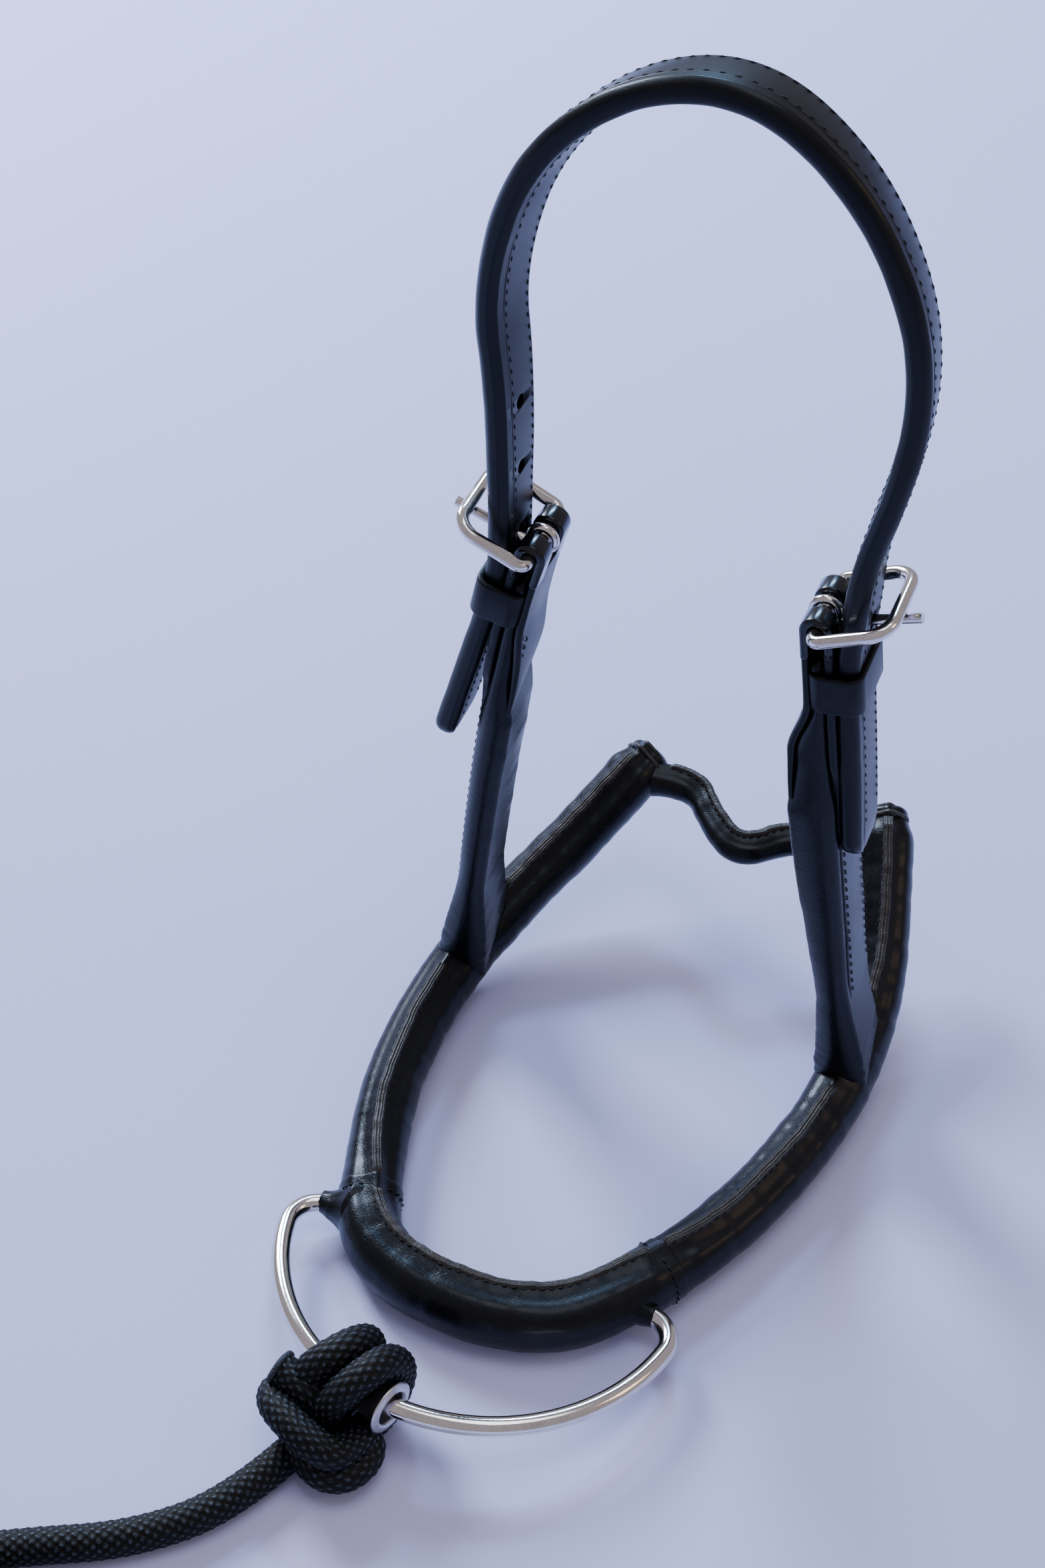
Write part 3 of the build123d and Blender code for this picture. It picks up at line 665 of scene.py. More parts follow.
# ---- rope ------------------------------------------------------------------------------------
@dataclass
class Braid:
    """A round braid of two crossing sets of yarns."""

    radius: float = ROPE_R
    carriers: int = 12
    pick_length: float = 3.4
    relief: float = 0.6
    row_step: float = 0.42
    columns: int = 72

    def tube(self, name: str, path: Path, upward: np.ndarray, start: float = 0.0, end: float | None = None,
             tip: float = 0.0) -> bpy.types.Object:
        """A braided tube along a path.

        Yarns of one set run at u plus v and the other at u minus v, with u round the rope and v along it. A
        chequer of the two says which lies on top, and each pick stands out as a rounded bead.

        Args:
            name: the piece's name.
            path: the rope's line.
            upward: where the frames' top starts.
            start: where the tube starts along the path, in metres.
            end: where it ends, the path's end if none.
            tip: length over which the far end rounds off, in metres.

        Returns:
            The new object, with its pick attribute.
        """
        end = path.length if end is None else end
        rows = max(8, int((end - start) / (self.row_step * MM)))
        s = np.linspace(start, end, rows)
        centre, side, top = path.carried_frames(s, upward)
        turn = np.linspace(0, 2 * pi, self.columns, endpoint=False)
        u = self.carriers * turn[None] / (2 * pi)
        v = s[:, None] / (self.pick_length * MM)
        first, second = u + v, u - v
        over = np.sin(pi * first) * np.sin(pi * second)
        leaning = np.where(over > 0, first, second)
        ridge = np.abs(np.sin(pi * np.where(over > 0, second, first)))
        crown = np.clip(np.abs(over), 0, 1) ** 0.5
        height = crown * (0.55 + 0.45 * ridge) + 0.04 * np.sin(2 * pi * leaning)
        radius = (self.radius + self.relief * (height - 0.75)) * MM
        if tip:
            radius = radius * np.sqrt(np.clip((end - s[:, None]) / tip, 0.02, 1))
        grid = swept(centre, side, top, radius * np.cos(turn), radius * np.sin(turn))
        piece = surface(name, grid)
        values = np.concatenate([height.ravel(), [0.5, 0.5]]).astype(np.float32)
        piece.data.attributes.new("pick", "FLOAT", "POINT").data.foreach_set("value", values)
        return piece


@dataclass
class LeadRope:
    """The lead: the knot round the eyelet, the free lead and the turns that are put away."""

    knot_middle: tuple[float, float, float] = (-33.5, -123.6, 18.66)
    knot_right: tuple[float, float, float] = (0.956, -0.289, 0.0417)
    knot_front: tuple[float, float, float] = (-0.292, -0.9465, 0.1364)
    knot_up: tuple[float, float, float] = (0.0, 0.1426, 0.9898)
    turn_points: int = 14
    turns_out: float = 1.9
    braid: Braid = field(default_factory=Braid)

    def knot_point(self, right: float, front: float, up: float) -> tuple[float, ...]:
        """A point given in the knot's own directions, in millimetres."""
        axes = np.array([self.knot_right, self.knot_front, self.knot_up])
        return tuple(np.array(self.knot_middle) + np.array([right, front, up]) @ axes)

    def knot_control(self) -> list[tuple[float, ...]]:
        """Control points of the knot, from where the lead enters it to the sealed end."""
        local = [(-4, 19.3, -15.8), (3, 15.5, -15.5), (8, 6, -13.5), (9, -5, -11.6), (8.7, -11.5, -4.5),
                 (8.7, -11.8, 3), (8.6, -6, 10.5), (8, 1.8, 12.2), (5.4, 9, 8.6), (1.5, 12.4, 0.8),
                 (-1, 10.5, -7.5), (-3, 2, -12.3), (-4, -7, -10.5), (-3.5, -12, -3), (-2.4, -10.5, 6.5),
                 (-2, -3.5, 11.8), (-3.6, 2.8, 12.2), (-7, 8.8, 8.6), (-11, 12, -0.7), (-9.9, 14.2, -7.2),
                 (-3.8, 18.3, -11.4), (2.2, 21.9, -13), (10.2, 22.6, -13.6), (15.4, 17.5, -13.8),
                 (15.4, 8.9, -13.4), (11.6, 6, -10.5), (11.7, 13, -8.2), (11, 20.3, -6), (4.3, 22.9, -2.2),
                 (-4, 22.7, -0.6), (-12.5, 20.5, -1), (-17, 14.5, -4.5), (-13, 10.5, -8), (-6, 10.5, -8),
                 (-3.5, 12, -3), (-6, 12.5, 2.5), (-11, 12.8, 3.6), (-16.2, 13.2, 4.4)]
        return [self.knot_point(*point) for point in local]

    def lead_control(self) -> list[tuple[float, ...]]:
        """Control points of the lead and its stored turns, which rise to a second layer and end inside."""
        points = [tuple(point) for point in LEAD]
        outer, inner = COIL_R + ROPE_R, COIL_R - ROPE_R
        start = radians(115.0)
        step = 2 * pi / self.turn_points
        count = int(self.turns_out * 2 * self.turn_points)
        for k in range(count):
            turned = k * step
            level = turned / (2 * pi * self.turns_out)
            ring = outer + (inner - outer) * float(ease(np.array(level), 0.9, 1.1))
            if level < 1:
                rise = 2 * ROPE_R * float(ease(np.array(turned), 2 * pi * 0.86, 2 * pi * 1.02))
            else:
                rise = 2 * ROPE_R * float(1 - ease(np.array(level - 1), 0.42, 0.52))
            angle = start + turned
            points.append((COIL_MIDDLE[0] + ring * cos(angle), COIL_MIDDLE[1] + ring * sin(angle),
                           LEAD_Z + rise))
        return points

    def build(self) -> None:
        """Make the knot, its sealed end, and the lead with its stored turns."""
        knot_path = Path.through(self.knot_control(), 16)
        knot = Braid(radius=self.braid.radius - 0.15, row_step=0.45).tube("rope_knot_braid", knot_path, UP)
        settle(knot, Finish.BRAID, "rope", "rope_ring", "rope_knot")
        end = self.sealed_end(knot_path)
        lead_path = Path.through(self.lead_control(), 12)
        lead = self.braid.tube("lead_rope_braid", lead_path, UP, tip=0.004)
        Finish.BRAID.dress(lead)
        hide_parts("lead_rope", "lead_coil")
        start = Vector(lead_path.at(np.array([0.0]))[0])
        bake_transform(lead)
        log.info("lead %.3f m, knot %.3f m", lead_path.length, knot_path.length)

    def sealed_end(self, path: Path) -> bpy.types.Object:
        """The melted end of the rope: a low uneven dome that closes it."""
        centre, side, top = path.frames(np.array([path.length]), UP)
        ahead = path.heading(np.array([path.length]))
        turn = np.linspace(0, 2 * pi, 36, endpoint=False)
        share = np.array([1.03, 1.06, 1.0, 0.86, 0.6, 0.3])[:, None]
        out = np.array([-0.9, 0.2, 0.75, 0.95, 0.8, 0.85])[:, None]
        uneven = 1 + 0.04 * np.sin(3 * turn + 1) + 0.03 * np.sin(5 * turn)
        radius = self.braid.radius * share * uneven * MM
        rise = (out + 0.18 * np.sin(2 * turn + 0.6) * share) * MM
        spoke = np.cos(turn)[None, :, None] * side + np.sin(turn)[None, :, None] * top
        grid = centre + radius[..., None] * spoke + rise[..., None] * ahead
        return settle(surface("rope_sealed_end", grid), Finish.SEALED, "rope", "rope_ring")


@dataclass
class Eyelet:
    """The flanged eyelet that the rope is tied round: a lathe profile about its own axis."""

    bore: float = 5.3
    wall: float = 0.8
    flange: float = 8.5
    front: float = 16.0
    back: float = -9.0

    def turned(self, name: str, profile: list[tuple[float, float]], rope: LeadRope) -> bpy.types.Object:
        """A closed profile carried once round the eyelet's axis.

        Args:
            name: the piece's name.
            profile: places along the axis and radii, in millimetres.
            rope: the rope, which knows where the knot is.

        Returns:
            The new object.
        """
        along, radius = np.array(profile, float).T
        turn = np.linspace(0, 2 * pi, 73)[:, None]
        axes = np.array([rope.knot_right, rope.knot_front, rope.knot_up])
        local = np.stack([along + 0 * turn, radius * np.cos(turn), radius * np.sin(turn)], -1)
        return surface(name, (np.array(rope.knot_middle) + local @ axes) * MM, capped=False)

    def build(self, rope: LeadRope) -> None:
        """Make the flanged barrel and the washer at its hidden end."""
        out = self.bore + self.wall
        lip = self.front
        face = [(self.back, self.bore), (lip - 0.9, self.bore), (lip - 0.3, self.bore + 0.1),
                (lip + 0.1, self.bore + 0.5), (lip + 0.25, self.bore + 1.1), (lip + 0.1, self.bore + 1.7),
                (lip - 0.15, self.bore + 2.2), (lip - 0.25, self.flange - 0.5),
                (lip - 0.5, self.flange - 0.1), (lip - 0.8, self.flange), (lip - 1.1, self.flange - 0.1),
                (lip - 1.2, self.flange - 0.5), (lip - 1.2, out + 0.3), (lip - 1.5, out), (self.back, out)]
        barrel = self.turned("eyelet_turned_barrel", face, rope)
        settle(barrel, Finish.ALLOY, "steel", "rope_ring", "eyelet_barrel")
        ring = [(self.back + 1.2, out), (self.back + 1.1, out + 1.4), (self.back + 0.2, out + 1.5),
                (self.back, out)]
        washer = self.turned("eyelet_ring_washer", ring, rope)
        settle(washer, Finish.ALLOY, "steel", "rope_ring", "eyelet_washer")


# ---- noseband --------------------------------------------------------------------------------
@dataclass
class Noseband:
    """Padded noseband of three panels with standing seams, its rear strap and the cones of the bail."""

    radius: float = TUBE_R
    front_extra: float = 0.5
    rear_radius: float = 5.2
    welt_height: float = 2.6
    welt_width: float = 3.0
    seam_depth: float = 2.5
    blunt_share: float = 0.22
    blunt_reach: float = 10.0
    blunt_depth: float = 2.8
    lap_depth: float = 0.9
    foot_height: float = 13.9
    strap_lean: float = 0.35
    columns: int = 96
    row_step: float = 1.0

    def __post_init__(self) -> None:
        """Read the noseband's line and mark where its panels meet."""
        control = [(x, y, self.radius + rise) for x, y, rise in LEFT_ARM + FRONT + RIGHT_ARM]
        self.path = Path.through(control)
        self.left_join = self.path.nearest((-58, -58.5, 10))
        self.right_join = self.path.nearest((37, -49.5, 10))
        self.left_foot = self.path.nearest((-68.8, HEAD_Y, self.foot_height))
        self.right_foot = self.path.nearest((70.2, HEAD_Y, self.foot_height))

    def upward(self, s: np.ndarray) -> np.ndarray:
        """Where the seam stands: straight up on the arms, leaning 30 degrees inwards along the front."""
        ahead = self.path.heading(s)
        inward = unit(np.cross(UP, ahead))
        reach = 0.03
        lean = radians(30) * (ease(s, self.left_join - reach, self.left_join + reach)
                              * (1 - ease(s, self.right_join - reach, self.right_join + reach)))
        return np.cos(lean)[:, None] * UP + np.sin(lean)[:, None] * inward

    def bend(self, s: np.ndarray) -> tuple[np.ndarray, np.ndarray]:
        """How sharply the line turns at each distance, from 0 to 1, and towards which side."""
        before, after = self.path.heading(s - 0.008), self.path.heading(s + 0.008)
        turned = after - before
        return np.clip(np.linalg.norm(turned, axis=1) / 0.55, 0, 1), unit(turned + 1e-9)

    def radius_at(self, s: np.ndarray, turn: np.ndarray, front: bool) -> np.ndarray:
        """Distance from the line to the leather.

        The section is a circle that rises to the seam at angle 0 like a drop, with a shallow valley on each
        side, wanders slowly along its length, and has short folds on the inside of each bend.

        Args:
            s: distances along the line, (rows,).
            turn: angles from the seam, (columns,).
            front: whether this is the front panel.

        Returns:
            Radii in metres, (rows, columns).
        """
        angle = np.abs(np.angle(np.exp(1j * turn)))[None]
        drop = 1.5 * np.exp(-(angle / 0.17) ** 1.6) - 0.55 * bump(angle, 0.48, 0.22)
        wander = 0.32 * drift(s, 3, 0.05)[:, None] * np.cos(turn - 0.8) + 0.22 * drift(s, 5, 0.031)[:, None]
        amount, toward = self.bend(s)
        _, side, top = self.path.frames(s, self.upward(s))
        facing = np.einsum("ij,ij->i", side, toward)[:, None] * np.sin(turn) + \
            np.einsum("ij,ij->i", top, toward)[:, None] * np.cos(turn)
        folds = np.sin(2 * pi * (s[:, None] / 0.0085 + 0.4 * np.sin(1.5 * turn + 60 * s[:, None]))
                       + 2.2 * drift(s, 8, 0.03)[:, None]) * (0.4 + 0.6 * np.abs(drift(s, 6, 0.025)[:, None]))
        fold = 0.34 * amount[:, None] * ease(facing, 0.0, 1.0) * folds
        flat = -0.6 * ease(-facing, 0.55, 1.0) * amount[:, None]
        ripple = 2 * pi * s[:, None] / 0.0043 + 5 * np.cos(turn) + 4 * drift(s, 7, 0.017)[:, None]
        fine = 0.05 * np.sin(ripple) * drift(s, 9, 0.04)[:, None] ** 2
        extra = self.front_extra if front else 0.0
        feet = sum(bump(s, foot, 0.012) for foot in (self.left_foot, self.right_foot))[:, None]
        drop = drop * (1 - feet) + 0.9 * feet * bump(angle, 0.0, 0.9)
        return (self.radius - 0.15 + extra + drop + wander + fold + flat + fine) * MM

    def panel(self, name: str, start: float, end: float, front: bool, *nodes: str) -> bpy.types.Object:
        """One padded panel: the radius function carried along the line, with its ends drawn in.

        Args:
            name: the piece's name.
            start: where it starts along the line, in metres.
            end: where it ends.
            front: whether this is the front panel, which laps over the arms.
            nodes: the CAD nodes that it stands for.

        Returns:
            The new piece.
        """
        rows = int((end - start) / (self.row_step * MM))
        s = np.linspace(start, end, rows)
        lip = np.linspace(0, 1, 7)[:, None]
        turn = np.linspace(0, 2 * pi, self.columns, endpoint=False)
        radius = self.radius_at(s, turn, front)
        reach = self.blunt_reach * MM
        blunt_start = start < reach / 2
        blunt_end = end > self.path.length - reach / 2
        shrink = np.ones(rows)
        if blunt_start:
            shrink *= 1 - self.blunt_share * (1 - ease(s, start, start + reach))
        if blunt_end:
            shrink *= 1 - self.blunt_share * ease(s, end - reach, end)
        radius = radius * shrink[:, None]
        centre, side, top = self.path.frames(s, self.upward(s))
        grid = swept(centre, side, top, radius * np.sin(turn), radius * np.cos(turn))
        ahead = self.path.heading(s)
        inner = 0.8 if front else 0.5
        shrinking = 1 - (1 - inner) * (1 - np.cos(lip * pi / 2))

        def closing(ring: np.ndarray, spot: np.ndarray, outward: np.ndarray, blunt: bool) -> np.ndarray:
            """A ring drawn in towards its middle while it moves outwards by a quarter sine."""
            depth = (self.blunt_depth if blunt else self.lap_depth) * MM
            return (spot + (ring[None] - spot) * shrinking[..., None]
                    + (np.sin(lip * pi / 2) * depth)[..., None] * outward)

        starts = closing(grid[0], centre[0], -ahead[0], blunt_start)[:0:-1]
        ends = closing(grid[-1], centre[-1], ahead[-1], blunt_end)[1:]
        whole = np.concatenate([starts, grid, ends])
        whole[..., 2] = np.maximum(whole[..., 2], 0.1 * MM)
        return settle_padded(surface(name, whole), "noseband", *nodes)

    def welt(self, name: str, start: float, end: float, *nodes: str) -> bpy.types.Object:
        """A standing seam: a flat-topped strip with ridges for the cut edges of its layers.

        Args:
            name: the piece's name.
            start: where it starts along the line, in metres.
            end: where it ends.
            nodes: the CAD nodes that it stands for.

        Returns:
            The new piece.
        """
        rows = int((end - start) / (0.6 * MM))
        s = np.linspace(start, end, rows)
        half = self.welt_width / 2
        across = np.linspace(-half, half, 25)
        layers = 0.42 * np.abs(np.cos(3 * pi * (across + half) / (2 * half))) ** 0.6
        crumb = 0.10 * np.sin(2 * pi * s[:, None] / 0.0017 + 5 * across) * drift(s, 12, 0.011)[:, None]
        rise = self.welt_height * (0.86 + 0.14 * drift(s, 14, 0.03))
        ends = ease(s, start, start + 0.004) * (1 - ease(s, end - 0.004, end))
        rise = (rise * ends)[:, None]
        shoulder = 0.5 * (np.abs(across) / half) ** 6
        topline = self.radius + rise + (layers - 0.42 - shoulder + crumb) * np.minimum(rise / 2, 1)
        sway = 0.35 * drift(s, 16, 0.045)[:, None]
        down = np.linspace(0, 1, 6)[1:-1]
        deep = self.radius - self.seam_depth
        near, far = topline[:, :1], topline[:, -1:]
        falling = far + (deep - far) * down
        rising = near + (deep - near) * (1 - down)
        foot = np.full((rows, 1), deep)
        heights = np.concatenate([topline, falling, foot, foot, rising], axis=1)
        edge = half + 0.25 * np.sin(pi * down)
        sides = np.concatenate([across, edge, [half], [-half], -edge])[None] + sway
        centre, side, top = self.path.frames(s, self.upward(s))
        grid = swept(centre, side, top, sides * MM, heights * MM)
        return settle(surface(name, grid), Finish.CUT_EDGE, "seam", "noseband", *nodes)

    def build(self) -> None:
        """Make the panels, their seams and stitches, the rear strap and the cones."""
        end = self.path.length
        self.panel("left_arm_leather", 0.0, self.left_join + 0.002, False, "left_arm_cover", "left_arm_core")
        self.panel("front_leather", self.left_join - 0.003, self.right_join + 0.003, True, "front_cover",
                   "front_core")
        self.panel("right_arm_leather", self.right_join - 0.002, end, False, "right_arm_cover",
                   "right_arm_core")
        spans = {
            "left_rear": (0.003, self.left_foot - 0.020, "left_rear_welt"),
            "left_front": (self.left_foot + 0.015, self.left_join - 0.001, "left_front_welt"),
            "front": (self.left_join, self.right_join, "front_welt"),
            "right_front": (self.right_join + 0.001, self.right_foot - 0.015, "right_front_welt"),
            "right_rear": (self.right_foot + 0.020, end - 0.003, "right_rear_welt"),
        }
        for name, (first, last, node) in spans.items():
            self.welt(f"{name}_seam_edge", first, last, node)
            for hand, offset in (("inner", 1.0), ("outer", -1.0)):
                row = stitch_row(f"{name}_seam_stitches_{hand}", self.path, first / MM + 3, last / MM - 3,
                                 offset * (self.welt_width / 2 + 0.1), self.radius + 1.0, 3.2, self.upward,
                                 normal=(offset, 0.0))
                settle(row, Finish.THREAD, "seam", "noseband")
        self.rear_strap()
        for hand, side in (("left", -1), ("right", 1)):
            self.cone(hand, side)
            self.end_fold(hand)
        self.join_stitches()

    def rear_strap(self) -> None:
        """The thin rolled strap: a round section with a drop-shaped seam, wider where it meets the arms."""
        path = Path.through([(x, y, self.radius + rise) for x, y, rise in REAR_STRAP])
        upward = UP + self.strap_lean * REARWARD
        rows = int(path.length / (0.9 * MM))
        s = np.linspace(0.0, path.length, rows)
        turn = np.linspace(0, 2 * pi, 72, endpoint=False)
        angle = np.abs(np.angle(np.exp(1j * turn)))[None]
        flare = 2.6 * (np.exp(-s / 0.009) + np.exp(-(path.length - s) / 0.009))[:, None]
        drop = 1.1 * np.exp(-(angle / 0.26) ** 1.6) - 0.3 * bump(angle, 0.75, 0.25)
        wander = 0.22 * drift(s, 21, 0.03)[:, None] + 0.15 * drift(s, 22, 0.05)[:, None] * np.cos(2 * turn)
        folded = ease(np.cos(turn + 2.2), 0.2, 1)[None]
        folds = 0.16 * np.sin(2 * pi * s[:, None] / 0.0042 + 2 * np.cos(turn)) * folded
        radius = (self.rear_radius - 0.1 + flare + drop + wander + folds) * MM
        centre, side, top = path.frames(s, upward)
        grid = swept(centre, side, top, radius * np.sin(turn), radius * np.cos(turn))
        settle_padded(surface("rear_strap_leather", grid), "noseband", "rear_strap_cover", "rear_strap_core")
        inset = 0.011
        s = np.linspace(inset, path.length - inset, int((path.length - 2 * inset) / (0.6 * MM)))
        half = 1.15
        across = np.linspace(-half, half, 15)
        ends = ease(s, s[0], s[0] + 0.004) * (1 - ease(s, s[-1] - 0.004, s[-1]))
        layers = 0.3 * np.abs(np.cos(2 * pi * (across + half) / (2 * half))) ** 0.6
        crown = layers - 0.3 * (np.abs(across) / half) ** 6
        topline = self.rear_radius + ends[:, None] * (1.9 + 0.25 * drift(s, 25, 0.02)[:, None] + crown
                                                      + 0.08 * np.sin(2 * pi * s[:, None] / 0.0016))
        low = np.full((len(s), 2), self.rear_radius - 1.5)
        centre, side, top = path.frames(s, upward)
        sides = np.concatenate([across, [half, -half]])[None] + 0.25 * drift(s, 27, 0.03)[:, None]
        grid = swept(centre, side, top, sides * MM, np.concatenate([topline, low], axis=1) * MM)
        settle(surface("rear_strap_seam_edge", grid), Finish.CUT_EDGE, "seam", "noseband")
        for hand, offset in (("inner", 1.0), ("outer", -1.0)):
            row = stitch_row(f"rear_strap_stitches_{hand}", path, 13, path.length / MM - 13,
                             offset * (half + 0.15), self.rear_radius + 0.8, 2.9, upward, long=1.9,
                             thick=0.5, normal=(offset, 0.0))
            settle(row, Finish.THREAD, "seam", "noseband")

    def cone(self, hand: str, side: int) -> None:
        """Leather drawn out round the bail: a folded trumpet that narrows towards its mouth."""
        spot = np.array([-15.0 + side * 53.3, -64.8, 10.2])
        inside = 12.0
        reach = 3.5 if side < 0 else 2.5
        rows, columns = 40, 64
        x = np.linspace(-inside, reach, rows)
        share = np.clip((reach - x) / 10.0, 0, 1.35)
        turn = np.linspace(0, 2 * pi, columns, endpoint=False)
        base = 6.3 if side < 0 else 4.8
        radius = 3.55 + base * (share ** 1.7)[:, None] * np.ones(columns)
        folds = 0.35 * np.sin(5 * turn + 1.3 * side) + 0.22 * np.sin(9 * turn + 0.5)
        radius = radius + folds * (np.clip(share, 0, 1) * (1.1 - 0.6 * np.clip(share, 0, 1)))[:, None]
        radius = np.minimum(radius, 9.6 + 0.25 * np.sin(3 * turn))
        direction = np.array([side, 0.0, 0.0])
        centre = (spot + x[:, None] * direction) * MM
        centre[:, 1] += (0.35 * np.clip(-x, 0, 12) * MM)
        vertical = np.tile(UP, (rows, 1))
        level = np.tile(np.cross(direction, UP), (rows, 1))
        grid = swept(centre, level, vertical, radius * np.sin(turn) * MM, radius * np.cos(turn) * MM)
        settle(surface(f"{hand}_bail_cone", grid), Finish.NOSE_LEATHER, "leather", "noseband",
               f"{hand}_bail_sleeve")

    def end_fold(self, hand: str) -> None:
        """The folded, stitched end of an arm: a stack of three turned-over edges across its end."""
        left = hand == "left"
        s_end = 0.0 if left else self.path.length
        away = -1.0 if left else 1.0
        edges = ((-2.6, 0.80, 0.16), (-0.7, 0.72, -0.1), (1.0, 0.58, 0.12))
        for number, (shift, size, tilt) in enumerate(edges):
            s = np.array([s_end + away * shift * MM])
            centre, side, top = self.path.frames(s, UP)
            ahead = self.path.heading(s) * away
            turn = np.linspace(0, 2 * pi, 72, endpoint=False)
            section = np.linspace(0, 2 * pi, 12, endpoint=False)
            ring = self.radius * size * (1 + 0.035 * np.sin(3 * turn + number) + 0.02 * np.sin(7 * turn))
            seam = 1.5 * np.exp(-(np.angle(np.exp(1j * turn)) / 0.3) ** 2)
            ring = ring + seam
            out = ring[:, None] + 0.75 * np.cos(section)[None] - 0.3
            onward = (0.85 * np.sin(section)[None] + tilt * ring[:, None] * np.cos(turn)[:, None])
            spots = (centre[0] + (out * np.sin(turn)[:, None])[..., None] * MM * side[0]
                     + (out * np.cos(turn)[:, None])[..., None] * MM * top[0]
                     + onward[..., None] * MM * ahead[0])
            grid = np.concatenate([spots, spots[:1]])
            fold = surface(f"{hand}_end_fold_{number + 1}", grid, capped=False)
            settle(fold, Finish.CUT_EDGE, "seam", "noseband")

    def join_stitches(self) -> None:
        """Stitches round the lap at each end of the front panel: rings of beads that follow the tube."""
        for hand, spot in (("left", self.left_join), ("right", self.right_join)):
            inner = 1 if hand == "left" else -1
            s = np.array([spot + inner * 0.0005])
            centre, side, top = self.path.frames(s, self.upward(s))
            turn = np.linspace(0.35, 2 * pi - 0.35, 90)
            radius = self.radius_at(s, turn, True)[0] + 0.00005
            ring = (centre[0] + (radius * np.sin(turn))[:, None] * side[0]
                    + (radius * np.cos(turn))[:, None] * top[0])
            row = ring_stitches(f"{hand}_join_stitches", Path.of(ring), centre[0])
            settle(row, Finish.THREAD, "seam", "noseband")


def ring_stitches(name: str, path: Path, middle: np.ndarray) -> bpy.types.Object:
    """Stitches along a ring, each standing out from the ring's middle."""
    pitch = 3.0
    count = int(path.length / (pitch * MM))
    s = (np.arange(count) + 0.5) * pitch * MM
    upward = unit(path.at(s) - middle)
    return stitch_row(name, path, 0, path.length / MM, 0.0, 0.15, pitch, upward)


def settle_padded(piece: bpy.types.Object, body: str, *nodes: str) -> bpy.types.Object:
    settle(piece, Finish.NOSE_LEATHER, "leather", body, *nodes)
    return piece


# ---- headpiece -------------------------------------------------------------------------------
def in_plane(points: list[tuple[float, float]]) -> list[tuple[float, float, float]]:
    """Points of the headpiece's plane."""
    return [(x, HEAD_Y, z) for x, z in points]


